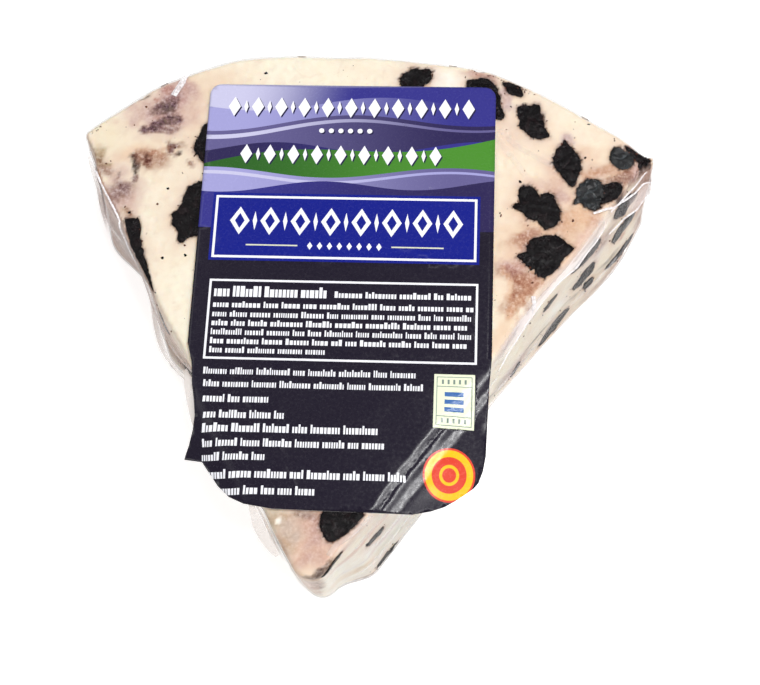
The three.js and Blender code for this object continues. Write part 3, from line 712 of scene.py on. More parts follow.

# Stains on the top face, and one painted glint near the sharp point: x, y, length, width, turn, colour,
# strength, softness
TOP_STAINS_AND_GLINT = [
    (44, 84, 44, 36, 45, WARM, 0.65, 0.9),
    (17.5, 110.5, 13, 6, -6, WHITE, 0.7, 0.7),
    (-44, 93, 34, 26, 20, WARM, 0.55, 0.8),
    (-33, 106, 20, 9, 10, WARM, 0.9, 0.7),
    (-52.3, 93.2, 8, 6.5, 20, YELLOW, 0.9, 0.6),
    (-42.2, 100.4, 14, 10, 25, MAUVE, 0.8, 0.7),
    (-38.6, 104, 7, 7, 40, MAUVE, 0.75, 0.6),
    (-36, 100, 6, 9, 0, PINK, 0.5, 0.7),
    (-47, 80, 9, 8, 30, MAUVE, 0.75, 0.7),
    (-50, 86, 8, 5, -20, MAUVE, 0.4, 0.7),
    (-45, 89.6, 10, 4, 10, PEACH, 0.45, 0.7),
    (-41.4, 100.9, 5.6, 2.8, 10, PLUM, 0.75, 0.55),
    (-40.8, 101.1, 3, 1.9, 15, SOOT, 0.85, 0.45),
    (-39, 103.2, 4.6, 2, 60, PLUM, 0.6, 0.5),
    (-40.8, 104.9, 2, 1.9, 0, RUST, 0.5, 0.5),
    (-43.2, 102.7, 1.4, 1, 0, RUST, 0.45, 0.5),
    (-41.4, 96.7, 9.4, 3.4, 14, MAUVE, 0.75, 0.6),
    (-45, 95.4, 2.2, 1.8, 0, PLUM, 0.95, 0.4),
    (-42.8, 96.3, 2.8, 2.3, 30, PLUM, 0.95, 0.4),
    (-39.6, 97.6, 3.8, 2.4, 15, PLUM, 1, 0.4),
    (-40.1, 95.7, 6.6, 1.4, 10, PLUM, 0.55, 0.5),
    (-37.5, 91.2, 3.8, 2.7, -15, BROWN, 0.6, 0.4),
    (-38.2, 91.4, 2, 1.7, 0, PLUM, 0.9, 0.35),
    (-36.4, 90.6, 1.6, 1.2, -30, SOOT, 0.8, 0.35),
    (-37.1, 91, 0.9, 0.9, 0, WARM, 0.9, 0.3),
    (-33.7, 88.2, 3.2, 1.1, -48, BROWN, 0.75, 0.4),
    (-45.1, 87.2, 2.4, 3.2, 20, TEAL, 1, 0.35),
    (-45.1, 85.6, 1.4, 1.8, -20, TEAL, 0.9, 0.35),
    (-45, 84.2, 1.3, 1.7, 0, PLUM, 0.8, 0.4),
    (-42.3, 88.2, 6.4, 4.4, 10, DARK_TAN, 0.7, 0.6),
    (-42.4, 88, 2.4, 3.4, -5, BROWN, 1, 0.4),
    (-41, 101.2, 4.4, 3, 20, PLUM, 0.6, 0.6),
    (-37.3, 105.1, 5, 4.6, 30, MAUVE, 0.7, 0.7),
    (-51.6, 86.6, 3, 4.4, 15, BROWN, 0.55, 0.6),
    (-41.3, 90, 3.6, 1.6, 30, TAN, 0.7, 0.5),
    (-39.6, 91.2, 3, 1, 20, TAN, 0.5, 0.5),
    (-47.6, 81.7, 4.6, 4.2, 20, PLUM, 0.6, 0.7),
    (-45.4, 82.6, 3, 2.6, 0, PLUM, 0.3, 0.7),
    (-48.4, 84.9, 0.9, 1.3, 0, PLUM, 0.5, 0.4),
    (-53.5, 88.7, 2.4, 4.8, 10, OLIVE, 0.75, 0.6),
    (-53, 87.9, 0.9, 2, 10, BROWN, 0.5, 0.5),
    (-51.1, 87, 2.6, 1.1, 10, OLIVE, 0.9, 0.4),
    (-45.4, 103.2, 3.4, 0.8, 30, SOOT, 0.75, 0.4),
    (-45.6, 76.2, 2.2, 2.6, 40, OLIVE, 0.5, 0.5),
    (-45.2, 76.3, 2, 0.9, -50, BROWN, 0.85, 0.35),
    (24.4, 112.9, 7, 1.6, -8, RUST, 0.5, 0.5),
    (26.1, 111.8, 6, 3, -10, MAUVE, 0.8, 0.5),
    (25.4, 111.6, 3.6, 1.6, -10, SOOT, 0.45, 0.5),
    (30.4, 107.6, 2.6, 6, 10, LILAC, 0.8, 0.6),
    (13.1, 109.2, 2.8, 1.6, 0, PEACH, 0.6, 0.5),
    (31.5, 100, 6, 11, 10, PINK, 0.35, 0.7),
    (43.1, 98.5, 3.6, 2.6, 0, LILAC, 0.75, 0.5),
    (47.7, 96, 4, 3.4, 0, PEACH, 0.4, 0.7),
    (52.2, 92.1, 8.6, 3.4, 20, TAN, 0.65, 0.6),
    (54.6, 91.8, 6, 2.8, 30, PEACH, 0.8, 0.6),
    (58.2, 92.8, 2.8, 5, 20, MAUVE, 0.8, 0.5),
    (54.9, 90.2, 6.4, 4, 20, BROWN, 0.85, 0.5),
    (58.8, 96.3, 6.4, 2.8, -50, SOOT, 1, 0.35),
    (57, 98, 3, 2.2, -40, PLUM, 0.9, 0.4),
    (50.5, 92.2, 6.4, 3.2, 10, TAN, 0.6, 0.6),
    (46.9, 81.9, 8, 4.6, 40, PEACH, 0.7, 0.6),
    (41.2, 87.8, 7.6, 3.6, -12, MAUVE, 0.55, 0.6),
    (43, 86, 2.6, 2.8, 0, LILAC, 0.9, 0.5),
    (41, 91.6, 7, 3, -40, PINK, 0.5, 0.6),
    (40.5, 76.5, 24, 16, 50, PEACH, 0.55, 0.8),
    (44.8, 78.6, 7, 5, 20, TAN, 0.3, 0.7),
    (36.2, 75.6, 6, 5, 0, TAN, 0.55, 0.6),
    (50.2, 81, 4.4, 3, 40, RUST, 0.5, 0.6),
    (47.8, 77, 6, 2.4, 55, PINK, 0.6, 0.6),
    (35, 69.6, 6.6, 4.2, 10, MAUVE, 0.9, 0.6),
    (34.8, 69.8, 3.6, 1.8, 10, RUST, 0.35, 0.6),
    (32.8, 68.6, 4.6, 3.2, 0, DARK_TAN, 0.55, 0.6),
    (36.9, 66.8, 5.4, 4, 50, DARK_TAN, 0.85, 0.6),
    (36, 62.6, 7.4, 4, 62, DARK_TAN, 0.95, 0.6),
    (37.2, 76.9, 4.6, 3, 30, DARK_TAN, 0.75, 0.6),
    (37.4, 65.8, 5.6, 4.6, 50, TAN, 0.7, 0.6),
    (35.5, 61.5, 7.4, 2, 62, TAN, 0.75, 0.5),
    (33.2, 66.6, 2, 7, 10, PEACH, 0.6, 0.6),
    (33, 56, 14, 4, 60, PEACH, 0.55, 0.7),
    (0.4, 11, 18, 17, 40, PINK, 0.8, 0.8),
    (-0.6, 12, 4.6, 7, 0, MAUVE, 0.7, 0.6),
    (-4, 12.8, 7, 5, 120, PEACH, 0.6, 0.7),
    (-7.4, 14.2, 4.6, 5, 120, OLIVE, 0.6, 0.6),
    (-4.8, 10.3, 3, 3.4, 30, OLIVE, 0.35, 0.6),
    (0.3, 7.8, 8, 3.8, 20, PEACH, 0.5, 0.7),
    (-1.8, 16, 5, 1.8, 0, SOOT, 0.4, 0.6),
    (-0.8, 4.6, 6, 3.4, 10, WARM, 0.7, 0.8),
    (0.3, 7.8, 5, 3, 20, MAUVE, 0.5, 0.7),
    (-4.4, 12.9, 4, 4, 0, ASH, 0.55, 0.7),
    # This small crisp white dot is a painted glint, not a stain
    (-6.9, 14.3, 1.5, 1.5, 0, WHITE, 1, 0.3),
    (3, 6.4, 4.6, 1.5, 55, SOOT, 0.85, 0.4),
    (1.8, 14.6, 4, 7, -20, MAUVE, 0.6, 0.6),
]


# How much the edges of the patches on the cheese break up, and how strong for its softness a crisp patch is
SOFT_BREAK = 0.35
CRISP_BREAK = 0.75
CRISP_MARK = 1.3

# How deep the patches of the top and of the sides go
TOP_MARK_DEPTH = 4.0
SIDE_MARK_DEPTH = 3.3


def oval_weight(dx, dy, shape, uneven):
    """How strong an oval patch is at places this far from its middle; its edge is uneven."""
    length, width, turn, _, strength, softness = shape
    angle = math.radians(turn)
    along = dx * math.cos(angle) + dy * math.sin(angle)
    across = dy * math.cos(angle) - dx * math.sin(angle)
    reach = np.hypot(along / (length / 2), across / (width / 2))
    return strength * smooth_step(-softness, softness, 1.0 - reach + uneven)


def top_mark_weight(points, mark, wander, patchy):
    """A patch on the top face, which is a stain, except for one painted glint; a strong patch with little
    softness is crisp.
    """
    x, y, _, width, _, _, strength, softness = mark
    dx = points[:, 0] + wander[:, 0] * min(1.0, width / 4) - x
    dy = points[:, 1] + wander[:, 1] * min(1.0, width / 4) - y
    broken = CRISP_BREAK if strength / softness > CRISP_MARK else SOFT_BREAK
    weight = oval_weight(dx, dy, mark[2:], broken * patchy)
    return np.where(points[:, 2] > HEIGHT - TOP_MARK_DEPTH, weight, 0.0)


# Stains on the cut sides, and painted shade over the left side: side, distance from the sharp point,
# height, length, width, turn, colour, strength, softness
SIDE_STAINS_AND_SHADE = [
    (1, 74, 9, 10.5, 1.3, -11, SOOT, 0.6, 0.5),
    (1, 63, 19.8, 3.4, 0.9, 9, SOOT, 0.5, 0.5),
    (1, 58.7, 7.2, 3.4, 1.2, -31, SOOT, 0.6, 0.5),
    (1, 95, 17, 5, 1.4, 10, SOOT, 0.5, 0.6),
    (1, 86, 8.6, 4, 1, -20, SOOT, 0.4, 0.6),
    (1, 98, 8.4, 7, 1.4, -12, SOOT, 0.5, 0.6),
    (1, 103.2, 10.4, 2.4, 1.8, 0, RUST, 0.6, 0.5),
    (1, 112, 13, 7, 26, 0, DUSK, 0.75, 0.8),
    (1, 111, 12, 5, 9, 60, TAN, 0.6, 0.8),
    (1, 111.5, 22, 6, 8, 60, RUST, 0.5, 0.8),
    (1, 70.5, 24.2, 7, 3, -8, MAUVE, 0.7, 0.7),
    (1, 86, 26.6, 46, 4.6, 1, LILAC, 0.2, 0.8),
    (1, 66, 25.6, 12, 4, 4, LILAC, 0.5, 0.8),
    (1, 66, 7.6, 9, 6, 0, LILAC, 0.75, 0.8),
    (1, 92.6, 15.8, 7, 5, 0, WHITE, 0.9, 0.8),
    (1, 81, 11.3, 7, 5, 0, WHITE, 0.8, 0.8),
    (1, 105, 13, 5, 5, 0, TAN, 0.45, 0.8),
    (1, 84, 0.6, 50, 1.8, 0, PEACH, 0.6, 0.7),
    (1, 80, 14, 70, 24, 0, ASH, 0.12, 1),
    (1, 98, 2, 24, 4, 0, DUSK, 0.6, 0.8),
    (1, 64, 6, 16, 5, -4, ASH, 0.7, 0.8),
    (1, 95.3, 18.6, 10, 6, -9, DUSK, 0.6, 0.7),
    (1, 24, 12, 40, 26, 0, WHITE, 0.85, 1),
    (1, 4.2, 18, 2.6, 14, 0, BROWN, 0.75, 0.7),
    (1, 7.2, 26.2, 7.4, 3, -14, SOOT, 0.95, 0.4),
    (1, 12, 0.8, 9, 1.7, 6, BROWN, 0.8, 0.6),
    (1, 16, 19.5, 18, 1.8, 5, PINK, 0.7, 0.7),
    (1, 26, 12, 26, 1.6, 4, LILAC, 0.5, 0.8),
    (1, 12, 8, 12, 3, 4, WARM, 0.7, 0.8),
    # This large dusky patch over the left side is painted shade, as that side is turned from the key light
    (-1, 92, 12, 46, 40, 0, DUSK, 0.75, 0.8),
    (-1, 98.5, 27, 7, 5, 0, TAN, 0.75, 0.7),
    (-1, 98, 22, 10, 5, 6, PINK, 0.9, 0.8),
    (-1, 105, 6, 8, 12, 0, PINK, 0.9, 0.8),
    (-1, 99, 2, 7, 9, 0, RUST, 0.7, 0.8),
    (-1, 89.7, 12.7, 7, 7, 0, ASH, 0.8, 0.8),
    (-1, 73, 25, 12, 6, 0, BROWN, 0.45, 0.9),
    (-1, 80, 19, 20, 6, 8, ASH, 0.5, 0.9),
    (-1, 58, 14, 34, 20, 0, PINK, 0.5, 1),
    (-1, 8, 14, 10, 20, 0, PINK, 0.8, 0.9),
]


def side_mark_weight(points, mark, patchy):
    hand, at, height = mark[:3]
    out = hand * points[:, 0] * COS_HALF - points[:, 1] * SIN_HALF
    dx = hand * points[:, 0] * SIN_HALF + points[:, 1] * COS_HALF - at
    dy = points[:, 2] - height
    weight = oval_weight(dx, dy, mark[3:], SOFT_BREAK * patchy)
    return np.where((out > -SIDE_MARK_DEPTH) & (points[:, 2] < HEIGHT - 0.3), weight, 0.0)


def blend_in(colours, tint, weight):
    weight = np.clip(weight, 0.0, 1.0)[:, None]
    return colours * (1 - weight) + tint * weight


def paste_colours(points, distance):
    """Cream with warm clouds, stains with a painted glint and painted shade among them, grey streaks low
    on the sides that are painted shade of the film's wrinkles, a mauve wash that is painted shade on
    the faces turned from the key light, and a dark rim at each berry.
    """
    colours = np.tile(CREAM, (len(points), 1))
    clouds = layered_noise(points, 18.0, 11)
    colours = blend_in(colours, WARM, 0.3 * smooth_step(-0.1, 0.9, clouds))
    colours = blend_in(colours, PINK, 0.2 * smooth_step(0.35, 0.9, layered_noise(points, 12.0, 31)))
    flecks = smooth_step(0.45, 0.95, layered_noise(points, 1.5, 45, 3))
    colours = blend_in(colours, TAN, 0.16 * flecks)
    hidden = points[:, 2] < HEIGHT - 3.0
    right_side = hidden & (points[:, 0] * COS_HALF - points[:, 1] * SIN_HALF > -2.0)
    blots = smooth_step(0.5, 0.9, layered_noise(points, 7.0, 41, 4))
    colours = blend_in(colours, PLUM, 0.4 * np.where(hidden & ~right_side, blots, 0.0))
    # A mauve wash on the faces below the top, all but the right side: painted shade on the faces turned from
    # the key light
    dim = smooth_step(-0.3, 0.8, clouds)
    colours = blend_in(colours, MAUVE, 0.4 * np.where(hidden & ~right_side, dim, 0.0))
    # Grey streaks drawn out along the faces below the top: painted shade of the film's wrinkles
    stretched = points * np.array([1.0, 1.0, 4.5])
    streaks = smooth_step(0.2, 0.9, layered_noise(stretched, 12.0, 51, 4))
    colours = blend_in(colours, STREAK_GREY, 0.25 * np.where(hidden, streaks, 0.0))
    wander = np.column_stack([layered_noise(points, 3.0, 61, 4), layered_noise(points, 3.0, 71, 4)]) * 1.3
    patchy = layered_noise(points, 1.9, 81, 4)
    for mark in TOP_STAINS_AND_GLINT:
        colours = blend_in(colours, mark[5], top_mark_weight(points, mark, wander, patchy))
    drawn_out = layered_noise(points * np.array([0.5, 0.5, 1.6]), 2.4, 85, 3)
    for mark in SIDE_STAINS_AND_SHADE:
        colours = blend_in(colours, mark[6], side_mark_weight(points, mark, drawn_out))
    uneven = layered_noise(points, 2.4, 91, 3)
    outside = np.maximum(distance + 0.25 * uneven, 0.0)
    colours = blend_in(colours, PEACH, 0.5 * np.exp(-outside / 1.5) * (0.8 + 0.5 * uneven))
    colours = blend_in(colours, MAUVE, 0.35 * np.exp(-outside / 2.4) * (0.7 - 0.6 * uneven))
    colours = blend_in(colours, BERRY_RIM, 0.95 * np.exp(-outside / 0.24))
    return colours


def make_paste(points, normals, faces, berries, outlines, material):
    distance = nearest_berry(points, berries, outlines)
    relief = 0.10 * layered_noise(points, 5.0, 101) + 0.05 * layered_noise(points, 1.6, 111)
    pits = smooth_step(0.62, 0.85, layered_noise(points, 2.2, 121, 2))
    hollow = HOLLOW_DEPTH * smooth_step(0.1, 0.9, -distance)
    depth = PASTE_DEPTH - relief + 0.3 * pits + hollow
    moved = points - normals * np.maximum(depth, LEAST_PASTE_DEPTH)[:, None]
    piece = make_object("cheese", moved, faces, material)
    paint(piece, paste_colours(points, distance))
    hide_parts("wrapped_cheese")


# The film on the cheese

def make_film(points, normals, faces, material):
    long = points * np.array([1.0, 1.0, 2.6])
    waves = FILM_WAVE * (layered_noise(long, 11.0, 131) + 0.5 * layered_noise(long, 3.0, 141))
    moved = points + normals * waves[:, None]
    top = points[:, 2] > HEIGHT - 0.6
    moved[:, 2] = np.where(top, np.minimum(moved[:, 2], UNDER_LABEL), moved[:, 2])
    moved[:, 2] = np.maximum(moved[:, 2], FILM_BASE)
    piece = make_object("film_skin", moved, faces, material)
    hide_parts("wrapped_cheese")


# Berries as meshes, laid onto the surface

def nearest_surface(tree, place):
    found, normal, _, _ = tree.find_nearest(Vector((place + SHARP_POINT) * MM))
    return np.array(found) / MM - SHARP_POINT, np.array(normal)


def make_berry(name, berry, outline, seed, tree, material):
    origin, along, up, _ = face_frame(*berry[:3])
    rings = BERRY_RINGS
    plain = outline
    for _ in range(EASING_ROUNDS):
        plain = eased(plain)
    plain = np.minimum(plain, outline)
    plan = [np.zeros(2)]
    shares = [0.0]
    for ring in range(1, rings + 1):
        share = ring / rings
        for heading, smooth_reach, reach in zip(HEADINGS, plain, outline):
            # Near the middle the rings are plainer than the ragged rim
            soft = smooth_reach * (1 - share) + reach * share
            plan.append(np.array([math.cos(heading), math.sin(heading)]) * soft * share)
            shares.append(share)
    plan = np.array(plan)
    shares = np.array(shares)
    flat = origin + plan[:, :1] * along + plan[:, 1:] * up
    wrinkles = 0.24 * layered_noise(flat + seed * 7.0, 2.6, 151, 4)
    wrinkles -= 0.20 * np.abs(soft_noise(flat - seed * 5.0, 1.9, 161))
    lift = wrinkles * (1 - shares ** 6) - 0.10 * shares ** 8 - BERRY_DEPTH
    lift = np.minimum(lift, -LEAST_BERRY_DEPTH)
    points = []
    for place, rise in zip(flat, lift):
        surface, normal = nearest_surface(tree, place)
        points.append(surface + normal * rise)
    first_skirt = len(points)
    for i in range(OUTLINE_STEPS):
        surface, normal = nearest_surface(tree, flat[-OUTLINE_STEPS + i])
        points.append(surface + normal * (lift[-OUTLINE_STEPS + i] - SKIRT_DEPTH))
    bottom = len(points)
    centre, normal = nearest_surface(tree, flat[0])
    points.append(centre - normal * BERRY_BOTTOM)
    faces = []
    for i in range(OUTLINE_STEPS):
        after = (i + 1) % OUTLINE_STEPS
        faces.append((0, 1 + i, 1 + after))
        for ring in range(rings):
            inner = 1 + ring * OUTLINE_STEPS
            outer = inner + OUTLINE_STEPS
            faces.append((inner + i, outer + i, outer + after, inner + after))
        faces.append((first_skirt + i, bottom, first_skirt + after))
    return make_object(name, points, faces, material)


def make_berries(tree, outlines, spare_outlines):
    matte = berry_material("berry_skin", linear(5, 2, 4), linear(36, 22, 24), 0.22, 0.14)
    # Wet berries: their higher gloss is real; their lighter grey-teal mottle is a painted sheen of the film
    # clinging to them
    painted_sheen_skin = berry_material("berry_wet_painted_sheen", linear(6, 8, 12), linear(62, 70, 74), 0.15, 0.4)
    counts = {}
    for seed, (berry, outline) in enumerate(zip(BERRIES, outlines)):
        face = berry[0]
        counts[face] = counts.get(face, 0) + 1
        node = f"berry_{face}_{counts[face]:02d}"
        wet = seed % 4 == 0 if face != "top" else counts[face] in (9, 11)
        piece = make_berry(f"skin_of_{node}", berry, outline, seed, tree, painted_sheen_skin if wet else matte)
        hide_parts(node)
    for seed, (berry, outline) in enumerate(zip(UNDERSIDE_BERRIES, spare_outlines)):
        piece = make_berry(f"underside_berry_{seed + 1:02d}", berry, outline, seed + 70, tree, matte)
    return matte


# Specks of berry skin and seed

SPECK_SCALE = 0.72

# How many specks lie on the top and the underside, on each cut side, on the round side, and at each
# berry that isn't in the round side
FLAT_SPECKS = 240
SIDE_SPECKS = 30
RIND_SPECKS = 60
SPECKS_AT_BERRY = 7

# The size from which a speck is dark, and how specks are made: corners, how far the hub and the rim
# stand out of the cheese, and how deep the skirt goes
LARGE_SPECK = 0.85
SPECK_CORNERS = 8
SPECK_CROWN = 0.14
SPECK_RIM = 0.05
SPECK_DEPTH = 0.35

# Specks on top that can be told apart: x, y, size
CLEAR_SPECKS = [
    (-39.4, 78.5, 0.7), (-37.8, 82.1, 0.9), (-35.2, 85.9, 0.5), (-20.6, 110.5, 1.0), (-32.1, 67.6, 1.1),
    (-36.7, 66.6, 1.0), (-46.9, 96.3, 0.5), (-45.0, 100.7, 0.8), (47.9, 102.9, 0.9), (45.1, 99.4, 0.4),
    (37.9, 95.9, 0.5), (35.3, 91.2, 0.5), (31.1, 80.8, 0.8), (34.5, 88.6, 1.5), (45.6, 80.7, 0.8),
    (-44.9, 76.2, 0.9), (-46.0, 77.4, 0.7), (-51.5, 87.0, 0.6), (-50.6, 87.6, 0.5), (37.6, 69.9, 0.8),
    (-37.6, 91.6, 0.8), (36.6, 79.0, 0.5),
]


def random_specks(random, outlines):
    """Further specks anywhere, with more of them close to the berries."""
    specks = []
    for _ in range(FLAT_SPECKS):
        heading = random.uniform(-HALF_ANGLE, HALF_ANGLE)
        distance = WHEEL_RADIUS * math.sqrt(random.uniform(0.01, 0.98))
        face = "top" if random.random() < 0.5 else "under"
        x, y = bearing(heading) * distance
        specks.append((face, x, y, random.uniform(0.12, 0.34)))
    for face in ("left", "right"):
        for _ in range(SIDE_SPECKS):
            specks.append((face, random.uniform(10, 110), random.uniform(1, 27), random.uniform(0.2, 0.7)))
    for _ in range(RIND_SPECKS):
        specks.append(("rind", random.uniform(-30, 30), random.uniform(1, 27), random.uniform(0.2, 0.7)))
    for berry, outline in zip(BERRIES, outlines):
        if berry[0] == "rind":
            continue
        for _ in range(SPECKS_AT_BERRY):
            heading = random.uniform(0, 2 * math.pi)
            reach = outline[int(heading / (2 * math.pi) * OUTLINE_STEPS)] + random.exponential(0.7)
            u = berry[1] + math.cos(heading) * reach
            v = berry[2] + math.sin(heading) * reach
            specks.append((berry[0], u, v, random.uniform(0.2, 0.7)))
    return specks


def corner_crumbs(random):
    """Reddish crumbs along the round side's top edge near both corners."""
    crumbs = []
    for first, last, count in ((-31.5, -29.5, 9), (11.0, 18.0, 26), (28.0, 31.0, 8)):
        for _ in range(count):
            turn = math.radians(random.uniform(first, last))
            reach = rind_radius(turn) - random.uniform(0.3, 1.8)
            crumbs.append(("top", reach * math.sin(turn), reach * math.cos(turn), random.uniform(0.3, 0.8)))
    return crumbs


def make_specks(tree, outlines, dark):
    random = np.random.default_rng(77)
    specks = random_specks(random, outlines)
    brown = berry_material("speck_brown", linear(96, 54, 40), linear(150, 104, 80), 0.5, 0.2)
    large = [("top", x, y, size) for x, y, size in CLEAR_SPECKS if size > LARGE_SPECK]
    small = [("top", x, y, size) for x, y, size in CLEAR_SPECKS if size < LARGE_SPECK]
    place_specks("specks_dark", tree, large + specks[::5], dark, random)
    lesser = [speck for index, speck in enumerate(specks) if index % 5]
    mixed = small + lesser + corner_crumbs(random)
    place_specks("specks_brown", tree, mixed, brown, random)


def place_specks(name, tree, specks, material, random):
    points = []
    faces = []
    for face, u, v, size in specks:
        # Each speck is a low fan round its hub, with a short skirt that closes at its foot
        origin, along, up, _ = face_frame(face, u, v)
        stretch = random.uniform(0.5, 1.0)
        turn = random.uniform(0, math.pi)
        hub = len(points)
        surface, normal = nearest_surface(tree, origin)
        points.append(surface - normal * (PASTE_DEPTH - SPECK_CROWN))
        for i in range(SPECK_CORNERS):
            heading = 2 * math.pi * i / SPECK_CORNERS
            reach = SPECK_SCALE * size / 2 * random.uniform(0.6, 1.3)
            x = math.cos(heading) * reach
            y = math.sin(heading) * reach * stretch
            place = origin + along * (x * math.cos(turn) - y * math.sin(turn))
            place = place + up * (x * math.sin(turn) + y * math.cos(turn))
            surface, normal = nearest_surface(tree, place)
            points.append(surface - normal * (PASTE_DEPTH - SPECK_RIM))
            points.append(surface - normal * (PASTE_DEPTH + SPECK_DEPTH))
        foot = len(points)
        surface, normal = nearest_surface(tree, origin)
        points.append(surface - normal * (PASTE_DEPTH + SPECK_DEPTH + 0.1))
        for i in range(SPECK_CORNERS):
            rim = hub + 1 + 2 * i
            next_rim = hub + 1 + 2 * ((i + 1) % SPECK_CORNERS)
            faces.append((hub, rim, next_rim))
            faces.append((rim, rim + 1, next_rim + 1, next_rim))
            faces.append((rim + 1, foot, next_rim + 1))
    piece = make_object(name, points, faces, material)


# The label

def bend(distance, radius, angle):
    """For sheet points this far past a bend: how far out and down they end up, and their tilt."""
    tilt = np.clip(distance / radius, 0.0, angle)
    rest = np.maximum(distance - radius * tilt, 0.0)
    out = np.where(distance > 0, radius * np.sin(tilt) + rest * np.cos(tilt), distance)
    down = np.where(distance > 0, radius * (1 - np.cos(tilt)) + rest * np.sin(tilt), 0.0)
    return out, down, np.where(distance > 0, tilt, 0.0)


def bend_over_sides(x, y, lift):
    hand = np.where(x < 0, -1.0, 1.0)
    past = hand * x * COS_HALF - y * SIN_HALF
    out, down, tilt = bend(past, BEND_RADIUS, np.where(x < 0, LEFT_DROOP, RIGHT_DROOP))
    move = out - past + lift * np.sin(tilt)
    return np.column_stack([
        x + hand * COS_HALF * move,
        y - SIN_HALF * move,
        HEIGHT - down + lift * np.cos(tilt),
    ])


def label_plan(across, down):
    x = LABEL_LEFT + across * math.cos(LABEL_TURN) + down * math.sin(LABEL_TURN)
    y = LABEL_TOP + across * math.sin(LABEL_TURN) - down * math.cos(LABEL_TURN)
    return x, y


def label_outline():
    """The label's rim: round upper corners, and lower edges drawn in as in the CAD model."""
    loop = []
    for middle, first in ((LABEL_CORNER_RADIUS, 180), (LABEL_WIDTH - LABEL_CORNER_RADIUS, 270)):
        for i in range(7):
            turn = math.radians(first + 15 * i)
            loop.append((middle + LABEL_CORNER_RADIUS * math.cos(turn),
                         LABEL_CORNER_RADIUS * (1 + math.sin(turn))))
    right = [(LABEL_WIDTH - inset, down) for down, inset in RIGHT_DRAWN_IN]
    left = [(inset, down) for down, inset in LEFT_DRAWN_IN]
    return loop + right + left[::-1]


def box(left, top, right, bottom):
    return [(left, top), (right, top), (right, bottom), (left, bottom)]


def nested_boxes(left, top, right, bottom, layers):
    """Boxes one inside another: how far in each lies, and its colour."""
    return [(box(left + inset, top + inset, right - inset, bottom - inset), flat(colour))
            for inset, colour in layers]


def disc(x, y, radius, steps=40):
    turns = np.arange(steps) * 2 * math.pi / steps
    return [(x + radius * math.cos(turn), y + radius * math.sin(turn)) for turn in turns]


def diamond(x, y, width, height):
    return [(x, y - height / 2), (x + width / 2, y), (x, y + height / 2), (x - width / 2, y)]


def clipped(loop, left, top, right, bottom):
    """The part of a convex loop inside a box."""
    sides = ((0, left, 1), (0, right, -1), (1, top, 1), (1, bottom, -1))
    for axis, limit, sign in sides:
        kept = []
        for i, point in enumerate(loop):
            before = loop[i - 1]
            inside = (point[axis] - limit) * sign >= 0
            inside_before = (before[axis] - limit) * sign >= 0
            if inside != inside_before:
                share = (limit - before[axis]) / (point[axis] - before[axis])
                kept.append(tuple(b + (p - b) * share for b, p in zip(before, point)))
            if inside:
                kept.append(point)
        loop = kept
    return loop


def flat(colour):
    return lambda points: np.tile(colour, (len(points), 1))


def faded(start, start_colour, end, end_colour):
    """A colour that goes from one to another between two places."""
    start = np.array(start, dtype=float)
    way = np.array(end, dtype=float) - start

    def shade(points):
        share = smooth_step(0.0, 1.0, (points - start) @ way / (way @ way))[:, None]
        return start_colour * (1 - share) + end_colour * share
    return shade


LABEL_DARK = linear(16, 8, 30)
LABEL_WHITE = linear(242, 242, 248)
SHADOW = linear(24, 20, 62)
BANNER_BLUE = linear(0, 18, 130)
KEYLINE = linear(214, 214, 190)
GREEN_LIGHT = linear(70, 136, 40)
GREEN_DARK = linear(38, 92, 28)
FIELD_LIGHT = linear(196, 194, 224)
FIELD_BLUE = linear(48, 46, 132)
FIELD_DEEP = linear(38, 30, 78)
BAND_LIGHT = linear(158, 156, 208)
BAND_GREY = linear(96, 90, 140)
STAMP_CREAM = linear(232, 238, 208)
STAMP_LINE = linear(120, 136, 128)
STAMP_BLUE = linear(58, 104, 168)
SEAL_AMBER = linear(250, 190, 8)
SEAL_RED = linear(218, 62, 38)

SEAL_PLACE = (52.3, 83.1)
SEAL_RINGS = (5.2, 4.8, 3.5, 2.0, 1.4)

FIELD_BOTTOM = 33.0
FIELD = (0.0, 0.0, LABEL_WIDTH, FIELD_BOTTOM)

# Wavy bands behind the ornament: the top edge's and the bottom edge's height at the left and at the
# right, the swing, how many waves, where they start, and the colours at the left and the right
WAVY_BANDS = [
    ((5.0, 3.5), (12.0, 8.5), 1.4, 1.2, 0.2, BAND_LIGHT, FIELD_BLUE),
    ((9.5, 7.5), (18.0, 15.5), 1.6, 1.1, 1.3, BAND_GREY, FIELD_DEEP),
    ((10.4, 8.4), (11.4, 8.9), 1.6, 1.1, 1.3, FIELD_LIGHT, BAND_GREY),
    ((15.0, 14.0), (22.0, 19.0), 1.3, 1.4, 2.6, FIELD_DEEP, FIELD_BLUE),
    ((19.0, 11.5), (25.5, 21.0), 1.7, 0.9, 3.4, GREEN_DARK, GREEN_LIGHT),
    ((20.5, 20.0), (26.5, 25.0), 1.2, 1.2, 4.6, BAND_LIGHT, BAND_GREY),
    ((21.3, 20.8), (22.1, 21.3), 1.2, 1.2, 4.6, FIELD_LIGHT, BAND_LIGHT),
    ((24.0, 22.5), (34.0, 34.0), 1.1, 1.5, 0.9, FIELD_BLUE, FIELD_DEEP),
]


def small_print(left, right, middle, height, thick, seed):
    """A line of small print as plain upright blocks in word-long groups, a few of them taller."""
    random = np.random.default_rng(seed)
    base = middle + height / 2
    blocks = []
    start = left
    while start < right - 1.0:
        word_end = min(start + random.uniform(1.8, 6.5), right)
        tall_start = random.random() < 0.4
        while start < word_end:
            width = random.choice([0.24, 0.3, 0.42]) * thick
            tall = height if tall_start or random.random() < 0.12 else height * 0.72
            tall_start = False
            blocks.append(box(start, base - tall, start + width, base))
            start += width + 0.19
        start += 0.5
    return blocks


